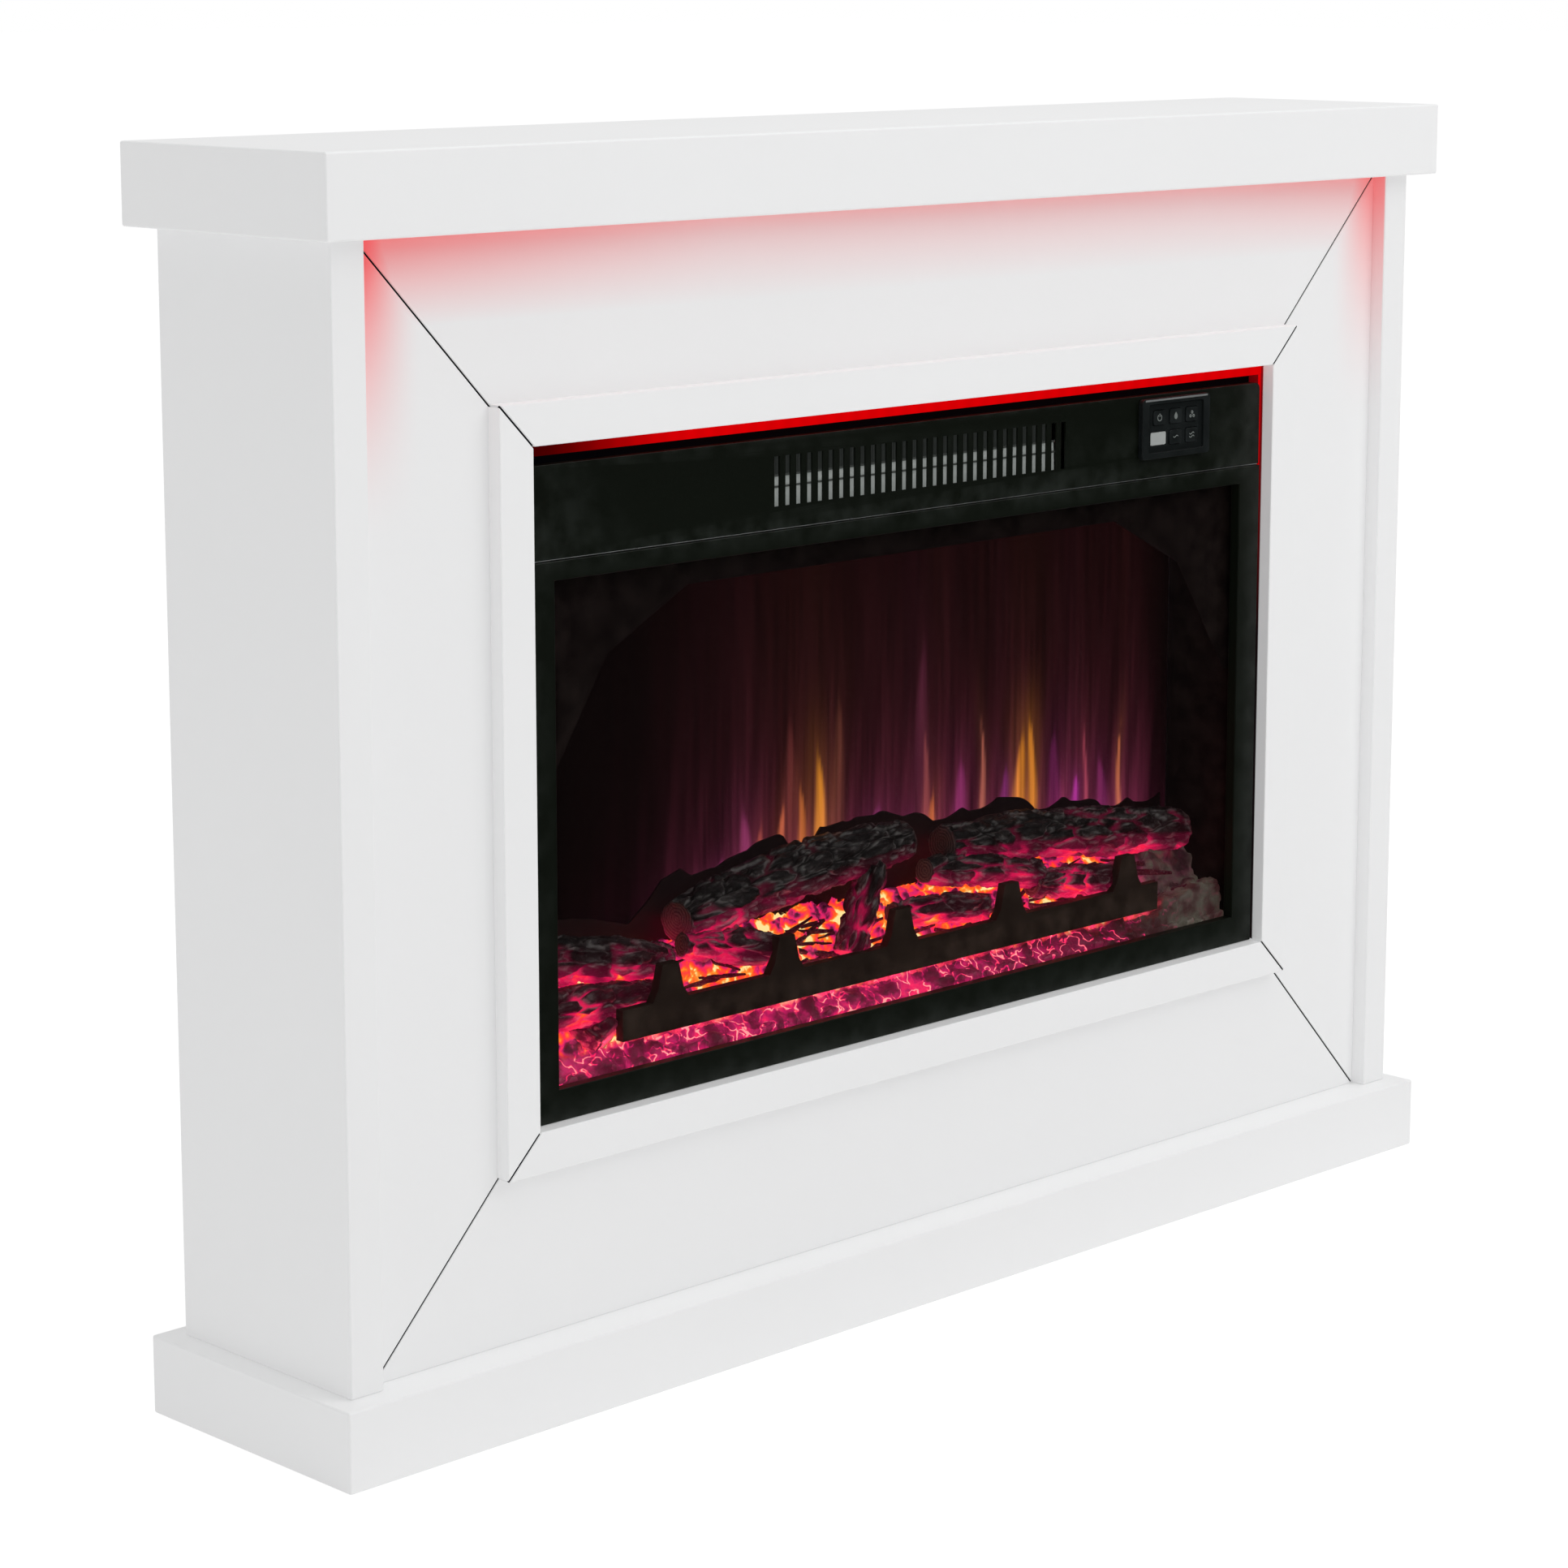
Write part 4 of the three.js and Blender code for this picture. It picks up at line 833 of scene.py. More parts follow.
def makeStudio():
    scene = bpy.context.scene
    scene.view_settings.view_transform = "Standard"
    scene.view_settings.look = "None"
    world = bpy.data.worlds.new("studio")
    scene.world = world
    world.use_nodes = True
    tree = world.node_tree
    tree.nodes.clear()
    sky = addNode(tree, "ShaderNodeBackground", {"Color": (1, 1, 1, 1), "Strength": studio["world"]})
    wall = addNode(tree, "ShaderNodeBackground", {"Color": (1, 1, 1, 1), "Strength": studio["backdrop"]})
    # a dark flag in front, seen only in reflections, keeps the glass and the black steel deep
    path = addNode(tree, "ShaderNodeLightPath").outputs
    ahead = axesOf(tree, addNode(tree, "ShaderNodeTexCoord").outputs["Generated"])["Y"]
    flagged = times(tree, path["Is Glossy Ray"], span(tree, ahead, 0.1, -0.15))
    flag = addNode(tree, "ShaderNodeBackground", {"Color": (1, 1, 1, 1), "Strength": studio["flag"]})
    lit = addNode(tree, "ShaderNodeMixShader", {0: flagged, 1: sky.outputs[0], 2: flag.outputs[0]})
    mixed = addNode(
        tree, "ShaderNodeMixShader", {0: path["Is Camera Ray"], 1: lit.outputs[0], 2: wall.outputs[0]},
    )
    tree.links.new(mixed.outputs[0], tree.nodes.new("ShaderNodeOutputWorld").inputs[0])
    for name, settings in lamps.items():
        areaLight(name, *settings)
    reach = studio["floor"]
    floor = boxMesh("floor", (-reach, -reach, -0.02), (reach, reach, -0.0005))
    pale, _, _ = newMaterial(
        "pale_floor", Base_Color=(0.9, 0.9, 0.9), Roughness=0.7,
        Emission_Color=(1.0, 1.0, 1.0), Emission_Strength=studio["floorGlow"],
    )
    tree = pale.node_tree
    front = axesOf(tree, objectPlace(tree))["Y"]
    path = addNode(tree, "ShaderNodeLightPath").outputs
    hidden = times(tree, path["Is Glossy Ray"], span(tree, front, 0.0, -0.3))
    dark = addNode(tree, "ShaderNodeBsdfDiffuse", {"Color": (0.01, 0.01, 0.01, 1.0)})
    shader = tree.nodes["Principled BSDF"].outputs[0]
    mixed = addNode(tree, "ShaderNodeMixShader", {0: hidden, 1: shader, 2: dark.outputs[0]})
    # seen directly, the floor burns out to the backdrop's white
    glow = addNode(tree, "ShaderNodeEmission", {"Color": (1, 1, 1, 1), "Strength": studio["seen"]})
    share = times(tree, path["Is Camera Ray"], studio["share"])
    shown = addNode(tree, "ShaderNodeMixShader", {0: share, 1: mixed.outputs[0], 2: glow.outputs[0]})
    tree.links.new(shown.outputs[0], tree.nodes["Material Output"].inputs[0])
    floor.data.materials.append(pale)


makeCamera()
makeStudio()
print("camera and studio made")


paintedEdges = {"mantel": 1.6, "board": 1.2, "frame": 0.9, "hidden": 0.6}


def makeSurround():
    for nodeName in ("mantel_shell", "plinth_shell"):
        softNode(nodeName, paintedEdges["mantel"] * millimetre, whitePaint, "white_paint", 3)
    for nodeName in ("left_side_board", "right_side_board"):
        softNode(nodeName, paintedEdges["board"] * millimetre, stripLitPaint, "white_paint", 3)
    for nodeName in ("mantel_soffit", "rear_top_rail", "insert_shelf"):
        softNode(nodeName, paintedEdges["hidden"] * millimetre, whitePaint, "white_paint")
    for side in ("top", "bottom", "left", "right"):
        board = softNode("fascia_" + side, paintedEdges["hidden"] * millimetre, stripLitPaint, "white_paint")
        rawBack(board)
        softNode("frame_" + side, paintedEdges["frame"] * millimetre, stripLitPaint, "white_paint", 3)


def rawBack(board):
    # the face of a fascia board that looks backwards is left unpainted
    board.data.materials.append(rawBoard)
    for face in board.data.polygons:
        if face.normal.y > 0.9:
            face.material_index = 1


makeSurround()
print("surround painted")


placeCopies = scatterTree()


def lathe(name, profile, sides):
    # a profile of (radius, height) points turned about Z, closed at both ends on the axis
    verts, faces = [], []
    rings = len(profile)
    for i in range(sides):
        angle = 2 * math.pi * i / sides
        verts += [(r * math.cos(angle), r * math.sin(angle), h) for r, h in profile]
    for i in range(sides):
        a, b = i * rings, (i + 1) % sides * rings
        faces += [(a + k, b + k, b + k + 1, a + k + 1) for k in range(rings - 1)]
    return mend(meshObject(name, verts, faces), 1e-7)


def screwTemplate(radius):
    # a pan head with a cross recess, pointing up +Z from its seat
    height = radius * 0.62
    profile = [(0, 0), (radius, 0), (radius, height * 0.35), (radius * 0.86, height * 0.74),
               (radius * 0.5, height * 0.96), (0, height)]
    head = lathe("screw_template", profile, 20)
    arm, deep = radius * 0.62, radius * 0.13
    bars = [boxMesh("bar", (-arm, -deep, height * 0.45), (arm, deep, height * 2)),
            boxMesh("bar", (-deep, -arm, height * 0.45), (deep, arm, height * 2))]
    for bar in bars:
        cut = head.modifiers.new("recess", "BOOLEAN")
        cut.object = bar
        cut.solver = "EXACT"
    applied(head)
    for bar in bars:
        bpy.data.objects.remove(bar)
    return head


def copiesAt(name, points, template, turn, material, slotName, body=fireBody):
    cloud = meshObject(name, points, [])
    grow(cloud, placeCopies, Template=template, Turn=turn, Material=material)
    return finish(cloud, None, slotName, body=body)


facingBack = (-math.pi / 2, 0, 0)
facingDown = (math.pi, 0, 0)


screws = {
    "radius": 0.0032, "rim": 0.007, "lidEnd": 0.02, "lidFront": 0.012, "lidBack": 0.008, "flange": 0.0021,
    "bracketEnd": 0.008, "bracketBack": 0.006, "railEnd": 0.012, "railRise": 0.014,
}


def makeScrews():
    coverLow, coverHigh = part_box("rear_cover")
    inset = screws["rim"]
    xs = np.linspace(coverLow.x + inset, coverHigh.x - inset, 5)
    zs = np.linspace(coverLow.z + inset, coverHigh.z - inset, 3)
    rim = [(x, coverHigh.y, z) for x in xs for z in (zs[0], zs[-1])]
    rim += [(x, coverHigh.y, zs[1]) for x in (xs[0], xs[-1])]
    small = screwTemplate(screws["radius"])
    copiesAt("rear_cover_screws", rim, small, facingBack, screwSteel, "zinc_steel")
    lidLow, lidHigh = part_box("casing_lid")
    end = screws["lidEnd"]
    lid = [(x, y, lidHigh.z) for x in np.linspace(lidLow.x + end, lidHigh.x - end, 4)
           for y in (lidLow.y + screws["lidFront"], lidHigh.y - screws["lidBack"])]
    copiesAt("lid_screws", lid, small, (0, 0, 0), screwSteel, "zinc_steel")
    wall = []
    for nodeName in ("left_wall_bracket", "right_wall_bracket"):
        low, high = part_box(nodeName)
        wall += [(x, low.y + screws["bracketBack"], high.z - screws["flange"])
                 for x in (low.x + screws["bracketEnd"], high.x - screws["bracketEnd"])]
    copiesAt("bracket_screws", wall, small, facingDown, screwSteel, "zinc_steel")
    railLow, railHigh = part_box("rear_top_rail")
    blocks = [(side * (railHigh.x - screws["railEnd"]), railHigh.y, z) for side in (-1, 1)
              for z in (railLow.z + screws["railRise"], railHigh.z - screws["railRise"])]
    copiesAt("rail_screws", blocks, small, facingBack, screwSteel, "zinc_steel")
    bpy.data.objects.remove(small)


louvre = {"length": 0.047, "rise": 0.0032, "height": 0.0062, "pitch": 0.062, "count": 9, "sheet": 0.0007,
          "lead": 0.0014, "above": (0.022, 0.034), "below": 0.022, "drop": 0.001}


def makeLouvres():
    # a pressed hood over each air slot of the rear cover
    low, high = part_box("rear_cover")
    half, arc = louvre["length"] / 2, 6
    verts, faces = [], []
    for i in range(arc + 1):
        angle = math.pi / 2 * i / arc
        y, z = louvre["rise"] * math.sin(angle), louvre["height"] * math.cos(angle)
        end = half - louvre["lead"] * math.sin(angle)
        verts += [(-end, y, z), (end, y, z)]
    faces = [(2 * i, 2 * i + 1, 2 * i + 3, 2 * i + 2) for i in range(arc)]
    hood = meshObject("hood_template", verts, faces)
    wall = hood.modifiers.new("sheet", "SOLIDIFY")
    wall.thickness = louvre["sheet"]
    mend(applied(hood))
    rows = [high.z - drop for drop in louvre["above"]] + [low.z + louvre["below"]]
    middle = (louvre["count"] - 1) / 2
    points = [((i - middle) * louvre["pitch"], high.y, z - louvre["drop"]) for z in rows
              for i in range(louvre["count"])]
    copiesAt("rear_louvres", points, hood, (0, 0, 0), zincSheet, "zinc_steel")
    bpy.data.objects.remove(hood)


makeScrews()
makeLouvres()
print("screws and louvres placed")


outlet = {"count": 29, "pitch": 0.0106, "width": 0.005, "height": 0.035, "base": 0.016}
band = {"corner": 0.005, "edge": 0.0005, "sheet": 0.0013}


def roundedTop(low, high, radius, steps=6):
    # (x, z) outline of a rectangle with its two upper corners rounded
    points = [(low.x, low.z), (high.x, low.z)]
    for centre, start in (((high.x - radius, high.z - radius), 0), ((low.x + radius, high.z - radius), 90)):
        for i in range(steps + 1):
            angle = math.radians(start + 90 * i / steps)
            points.append((centre[0] + radius * math.cos(angle), centre[1] + radius * math.sin(angle)))
    return points


def makeControlBand():
    low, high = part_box("control_band")
    bezelLow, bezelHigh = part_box("control_bezel")
    plate = plateMesh("control_band_finished", roundedTop(low, high, band["corner"]), low.y, high.y)
    soften(plate, band["edge"], 2, angle=40, dissolve=False)
    plate.modifiers.clear()
    shoulder = 0.0032
    middle = (bezelLow + bezelHigh) / 2
    opening = bezelHigh - bezelLow
    grow(
        plate, slotTree(), Count=outlet["count"], Pitch=outlet["pitch"],
        Slot=(outlet["width"], 0.03, outlet["height"]),
        Middle=(0, low.y, low.z + outlet["base"] + outlet["height"] / 2),
        Opening=(opening.x - 2 * shoulder, 0.04, opening.z - 2 * shoulder),
        Place=(middle.x, low.y, middle.z),
        Hollow=(high.x - low.x - 2 * band["sheet"], 0.02, high.z - low.z - 2 * band["sheet"]),
        HollowPlace=(0, low.y + band["sheet"] + 0.01, (low.z + high.z) / 2), Material=blackCoat,
    )
    shadeSmooth(plate)
    for face in plate.data.polygons:
        face.use_smooth = face.area < 2e-6
    finish(plate, blackCoat, "black_steel", "control_band")


seam = {"end": 0.002, "proud": 0.0001, "depth": 0.0007, "below": 0.0004, "above": 0.0005}


def makeSeam():
    # the folded lower edge of the band, made bright along its corner: a painted highlight
    low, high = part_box("control_band")
    edge = boxMesh(
        "band_seam", (low.x + seam["end"], low.y - seam["proud"], low.z - seam["below"]),
        (high.x - seam["end"], low.y + seam["depth"], low.z + seam["above"]),
    )
    soften(edge, 0.0002, 1)
    finish(edge, seamHighlight, "black_steel")


seal = {"rise": 0.0003, "front": -0.0655, "back": -0.0585, "side": 0.0006}


def makeSeal():
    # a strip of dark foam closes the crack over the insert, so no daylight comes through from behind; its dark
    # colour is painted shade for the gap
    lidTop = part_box("casing_lid")[1].z
    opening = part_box("frame_right")[0].x - seal["side"]
    foam = boxMesh(
        "top_seal", (-opening, seal["front"], lidTop + seal["rise"]),
        (opening, seal["back"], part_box("fascia_top")[0].z - seal["rise"]),
    )
    soften(foam, 0.001)
    finish(foam, shadeCoat, "black_plastic")


glassLook = {"tint": (0.006, 0.004, 0.004), "alpha": 0.27}


def makeGlass():
    material, _, _ = newMaterial(
        "tinted_glass", Base_Color=glassLook["tint"], Roughness=0.04, Alpha=glassLook["alpha"],
        Specular_IOR_Level=0.5,
    )
    pane = softNode("front_glass", 0.0006, material, "tinted_glass")
    pane.visible_shadow = False


mitre = {"width": 0.0012, "sunk": 0.0008, "thick": 0.0012, "short": 0.001}


def makeMitres():
    # dark strips deep in the open mitres, painted shade which draws the lines between the boards
    bm = bmesh.new()
    for kind in ("fascia", "frame"):
        inner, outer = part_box(kind + "_right")
        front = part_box(kind + "_top")[0].y + mitre["sunk"]
        below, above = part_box(kind + "_bottom"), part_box(kind + "_top")
        for side in (-1, 1):
            for far, near in ((above[1].z, above[0].z), (below[0].z, below[1].z)):
                start, end = Vector((side * outer.x, far)), Vector((side * inner.x, near))
                along = (end - start).normalized()
                start, end = start + along * mitre["short"], end - along * mitre["short"]
                across = Vector((-along.y, along.x)) * mitre["width"] / 2
                rings = [
                    [
                        bm.verts.new((c.x, y, c.y))
                        for c in (start + across, start - across, end - across, end + across)
                    ]
                    for y in (front, front + mitre["thick"])
                ]
                bm.faces.new(rings[0])
                bm.faces.new(rings[1][::-1])
                for k in range(4):
                    n = (k + 1) % 4
                    bm.faces.new((rings[0][n], rings[0][k], rings[1][k], rings[1][n]))
    bmesh.ops.recalc_face_normals(bm, faces=bm.faces)
    strips = meshObject("mitre_lines", [], [])
    bm.to_mesh(strips.data)
    bm.free()
    finish(strips, shadeCoat, "black_plastic")


def makeFireFront():
    softNode("window_frame", 0.0007, blackCoat, "black_steel", 3)
    makeControlBand()
    makeSeam()
    makeSeal()
    makeMitres()
    makeGlass()
    for nodeName in ("left_chamber_liner", "right_chamber_liner", "chamber_ceiling", "chamber_arch"):
        softNode(nodeName, 0.0003, chamberCoat, "black_steel", 1)
    softNode("log_guard", 0.0012, guardCoat, "black_steel", 3)


makeFireFront()
print("fire front made")


panel = {"edge": 0.0007, "mark": 0.00015, "line": 0.0007}
lipSize = {"end": 0.003, "proud": 0.0002, "depth": 0.001, "foot": 0.0022, "top": 0.0006}


def ringMark(x, z, outer, inner, gap=0.0, sides=28):
    # a flat ring with an optional gap at its top, as quads in x and z
    start, sweep = math.pi / 2 + gap / 2, 2 * math.pi - gap
    quads = []
    for i in range(sides):
        a, b = start + sweep * i / sides, start + sweep * (i + 1) / sides
        quads.append([(x + r * math.cos(t), z + r * math.sin(t)) for r, t in
                      ((outer, a), (outer, b), (inner, b), (inner, a))])
    return quads


def waveMark(x, z, width, thick, steps=10):
    quads = []
    for i in range(steps):
        a, b = (i / steps - 0.5) * width, ((i + 1) / steps - 0.5) * width
        za, zb = (0.0007 * math.sin(2 * math.pi * t / width) for t in (a, b))
        quads.append([(x + a, z + za), (x + b, z + zb), (x + b, z + zb + thick), (x + a, z + za + thick)])
    return quads


def dropMark(x, z, size, steps=18):
    # a flame: a round foot drawn up to a point
    points = []
    for i in range(steps):
        t = 2 * math.pi * i / steps
        pull = max(0.0, math.cos(t)) ** 3
        points.append(
            (
                x + size * 0.62 * math.sin(t) * (1 - 0.55 * pull),
                z + size * (0.75 * math.cos(t) + 0.35 * pull),
            )
        )
    return [points[::-1]]


def barMark(x, z, width, height):
    return [
        [(x - width / 2, z), (x + width / 2, z), (x + width / 2, z + height), (x - width / 2, z + height)]
    ]


def markFor(nodeName, x, z):
    line = panel["line"]
    if nodeName == "power_button":
        return ringMark(x, z, 0.0027, 0.0027 - line, gap=1.0) + barMark(x, z + 0.0006, line, 0.0026)
    if nodeName == "flame_button":
        return dropMark(x, z - 0.0002, 0.003)
    if nodeName == "ember_button":
        dots = [(-0.0018, -0.0014), (0.0018, -0.0014), (0.0, 0.0014)]
        return [quad for dx, dz in dots for quad in ringMark(x + dx, z + dz, 0.0013, 0.0005, sides=12)]
    rows = (0.0,) if nodeName == "low_heat_button" else (-0.0015, 0.0009)
    return [quad for dz in rows for quad in waveMark(x, z + dz, 0.0056, line)]


def makeMarks(material):
    for nodeName in buttonNames:
        low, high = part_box(nodeName)
        verts, faces = [], []
        for quad in markFor(nodeName, (low.x + high.x) / 2, (low.z + high.z) / 2):
            faces += prismFaces(len(quad), len(verts))
            verts += [(x, low.y + shift, z) for shift in (-panel["mark"], panel["mark"]) for x, z in quad]
        mark = mend(meshObject(nodeName.replace("button", "mark"), verts, faces), 1e-6)
        finish(mark, material, "display_plastic", body=nodeName)


def makePanel():
    softNode("control_bezel", panel["edge"], blackPlastic, "black_plastic", 3)
    for nodeName in buttonNames:
        softNode(nodeName, 0.0004, blackPlastic, "black_plastic")
    printed = coated("printed_marks", (0.17, 0.19, 0.18), 0.5, 0.1, 900.0, 0.1, 0.0001)
    makeMarks(printed)
    lit = coated("display_face", (0.36, 0.38, 0.37), 0.3, 0.25, 240.0, 0.05, 0.0001)
    softNode("display_window", 0.0004, lit, "display_plastic")
    low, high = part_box("control_bezel")
    # a grey lip along the bezel's top: a painted highlight where its upper edge catches the light
    lip = boxMesh(
        "bezel_lip", (low.x + lipSize["end"], low.y - lipSize["proud"], high.z - lipSize["foot"]),
        (high.x - lipSize["end"], low.y + lipSize["depth"], high.z - lipSize["top"]),
    )
    soften(lip, 0.0004)
    finish(lip, lipHighlight, "black_plastic")


makePanel()
print("control panel made")


bark = {"voxel": 0.0012, "depth": 0.0034, "lumps": 0.006, "plate": 85.0, "stretch": 0.34}
growBark = barkTree()
growCoals = coalTree()
logNames = sorted(name for name in nodes if name.endswith("_log"))


def reskin(piece, voxel):
    # a fine even skin over the whole of a closed mesh
    mend(piece, 1e-5, outward=False)
    skin = piece.modifiers.new("skin", "REMESH")
    skin.mode = "VOXEL"
    skin.voxel_size = voxel
    relax = piece.modifiers.new("relax", "SMOOTH")
    relax.iterations = 6
    relax.factor = 0.5
    return applied(piece)


def remeshed(nodeName, voxel):
    return reskin(copyOfNode(nodeName), voxel)


def mainAxis(mesh):
    points = np.empty(len(mesh.vertices) * 3)
    mesh.vertices.foreach_get("co", points)
    points = points.reshape(-1, 3)
    centre = points.mean(0)
    _, _, directions = np.linalg.svd(points - centre, full_matrices=False)
    return Vector(directions[0]), Vector(centre)


def makeLogs():
    for index, nodeName in enumerate(logNames):
        piece = remeshed(nodeName, bark["voxel"])
        axis, centre = mainAxis(piece.data)
        grow(
            piece, growBark, Axis=tuple(axis), Centre=tuple(centre), Plate=bark["plate"],
            Stretch=bark["stretch"], Depth=bark["depth"], Lumps=bark["lumps"], Seed=0.37 * index,
            Material=charredBark,
        )
        finish(smoothAll(piece), charredBark, "charred_resin", nodeName)


kindling = {
    "density": 3600.0, "length": 0.052, "thick": 0.0026, "seed": 5, "voxel": 0.006, "halfWidth": 0.325
}


def splinterTree():
    # thin splinters laid over the part of the bed that lies behind the guard
    tree, given = newTree(
        "layKindling", Template=("object", None), Density=("float", 9000.0), Seed=("int", 5),
        Nearest=("float", -0.040), Farthest=("float", -0.016), Material=("material", None),
    )
    place = addNode(tree, "GeometryNodeInputPosition").outputs[0]
    depth = axesOf(tree, place)
    tilt = axesOf(tree, addNode(tree, "GeometryNodeInputNormal").outputs[0])["Z"]
    inside = times(
        tree, maths(tree, "GREATER_THAN", depth["Y"], given["Nearest"]),
        maths(tree, "LESS_THAN", depth["Y"], given["Farthest"]),
    )
    inside = times(
        tree, inside, maths(tree, "LESS_THAN", maths(tree, "ABSOLUTE", depth["X"]), kindling["halfWidth"]),
    )
    chosen = times(tree, inside, maths(tree, "GREATER_THAN", tilt, 0.4))
    points = addNode(
        tree, "GeometryNodeDistributePointsOnFaces",
        {
            "Mesh": given["Geometry"], "Selection": chosen, "Density": given["Density"],
            "Seed": given["Seed"]
        },
    )
    info = addNode(tree, "GeometryNodeObjectInfo", {"Object": given["Template"]})
    turn = addNode(
        tree, "FunctionNodeRandomValue", {0: (0.0, -0.4, -0.5), 1: (6.28, 0.4, 0.5), "Seed": 21},
        data_type="FLOAT_VECTOR",
    )
    large = addNode(tree, "FunctionNodeRandomValue", {2: 0.5, 3: 1.15, "Seed": 22}, data_type="FLOAT")
    laid = addNode(
        tree, "GeometryNodeInstanceOnPoints",
        {"Points": points.outputs["Points"], "Instance": info.outputs["Geometry"],
         "Rotation": turn.outputs[0], "Scale": large.outputs[1]},
    )
    endTree(tree, laid.outputs[0], given["Material"])
    return tree


def makeKindling():
    draw = np.random.default_rng(kindling["seed"])
    rings, sides = 6, 6
    verts, faces = [], []
    for r in range(rings + 1):
        t = r / rings
        wide = kindling["thick"] * (0.25 + 0.75 * math.sin(math.pi * min(max(t, 0.06), 0.97)) ** 0.5)
        for k in range(sides):
            angle = 2 * math.pi * k / sides
            reach = wide * draw.uniform(0.6, 1.1)
            verts.append(
                ((t - 0.5) * kindling["length"], reach * math.cos(angle), reach * 0.75 * math.sin(angle))
            )
    for r in range(rings):
        for k in range(sides):
            a, b = r * sides + k, r * sides + (k + 1) % sides
            faces.append((a, b, b + sides, a + sides))
    faces.append(tuple(range(sides - 1, -1, -1)))
    faces.append(tuple(range(rings * sides, (rings + 1) * sides)))
    template = mend(meshObject("splinter_template", verts, faces))
    grainWise = template.data.attributes.new("grain", "FLOAT_VECTOR", "POINT")
    grainWise.data.foreach_set("vector", [c * 3 for vertex in template.data.vertices for c in vertex.co])
    pile = remeshed("ember_bed", kindling["voxel"])
    pile.name = "kindling"
    grow(pile, splinterTree(), Template=template, Density=kindling["density"], Seed=kindling["seed"],
         Material=charredBark)
    finish(pile, charredBark, "charred_resin")
    bpy.data.objects.remove(template)


coals = {"voxel": 0.0018, "size": 46.0, "height": 0.0042, "fine": 150.0}


def growEmbers(piece, *replaced):
    grow(
        piece, growCoals, Coal=coals["size"], Height=coals["height"], Fine=coals["fine"],
        Material=glowingEmbers,
    )
    finish(smoothAll(piece), glowingEmbers, "ember_resin", *replaced)


def makeEmbers():
    growEmbers(remeshed("ember_bed", coals["voxel"]), "ember_bed")


ledge = {"aside": 0.0012, "rise": 0.017, "back": 0.003, "depth": 0.022}


def makeLedge():
    # a cold ledge of resin in the front right corner, against the chamber's side
    low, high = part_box("ember_bed")
    end, foot, near = high.x - ledge["aside"], low.z + ledge["rise"], low.y + ledge["back"]
    profile = ((-0.082, 0.0), (0.0, 0.0), (0.0, 0.027), (-0.03, 0.027), (-0.062, 0.02), (-0.082, 0.008))
    outline = [(end + x, foot + z) for x, z in profile]
    growEmbers(reskin(plateMesh("resin_ledge", outline, near, near + ledge["depth"]), coals["voxel"]))


backing = {"rise": 0.008, "base": 0.276, "front": -0.0029, "back": -0.0013, "step": 0.004}


def makeBacking():
    # a dark plate behind the rear logs that follows their tops a little higher up
    tops = {}
    for nodeName in ("rear_left_log", "rear_right_log", "upright_log", "upper_left_log"):
        for vertex in nodes[nodeName].data.vertices:
            column = round(vertex.co.x / backing["step"])
            for near in range(column - 2, column + 3):
                tops[near] = max(tops.get(near, 0.0), vertex.co.z)
    columns = sorted(tops)
    xs = np.array(columns) * backing["step"]
    heights = np.array([tops[c] for c in columns]) + backing["rise"]
    grid = np.arange(xs[0], xs[-1], 0.003)
    rise = np.convolve(np.pad(np.interp(grid, xs, heights), 5, mode="edge"), np.ones(11) / 11, mode="valid")
    outline = [(grid[0], backing["base"]), (grid[-1], backing["base"])]
    outline += [(x, z) for x, z in zip(grid[::-1], rise[::-1])]
    plate = plateMesh("log_backing", outline, backing["front"], backing["back"])
    finish(plate, logBacking, "flame_screen")


# each tongue: x, foot, tip, width in millimetres, and its colour
tongues = [
    (-30, 318, 398, 11, (1.0, 0.36, 0.015)), (-49, 316, 376, 8, (0.8, 0.22, 0.04)),
    (-70, 314, 366, 8, (0.62, 0.15, 0.05)), (-90, 304, 352, 9, (0.5, 0.1, 0.05)),
    (-12, 326, 440, 13, (0.12, 0.035, 0.02)), (-62, 330, 430, 14, (0.10, 0.02, 0.018)),
    (188, 312, 384, 13, (1.0, 0.34, 0.01)), (204, 326, 394, 8, (0.95, 0.33, 0.02)),
    (80, 340, 470, 16, (0.07, 0.012, 0.03)), (146, 328, 400, 5, (0.55, 0.16, 0.1)),
    (92, 300, 350, 9, (0.85, 0.22, 0.03)), (83, 318, 400, 6, (0.35, 0.08, 0.07)),
    (306, 306, 372, 4, (0.85, 0.25, 0.08)), (267, 312, 378, 4, (0.38, 0.06, 0.09)),
    (-152, 302, 322, 9, (0.75, 0.14, 0.32)), (-128, 306, 334, 11, (0.4, 0.05, 0.2)),
    (252, 314, 342, 8, (0.34, 0.02, 0.3)), (170, 320, 360, 9, (0.24, 0.02, 0.22)),
    (66, 300, 330, 12, (0.4, 0.04, 0.36)), (30, 314, 350, 16, (0.22, 0.03, 0.16)),
    (120, 318, 372, 14, (0.2, 0.02, 0.12)), (230, 318, 380, 13, (0.16, 0.015, 0.1)),
    (285, 306, 352, 12, (0.2, 0.02, 0.12)), (-105, 306, 366, 14, (0.26, 0.035, 0.13)),
]
film = {
    "step": 0.0022, "maroon": (0.024, 0.0042, 0.0045), "plum": (0.2, 0.02, 0.078),
    "rust": (0.058, 0.012, 0.016), "seed": 11
}


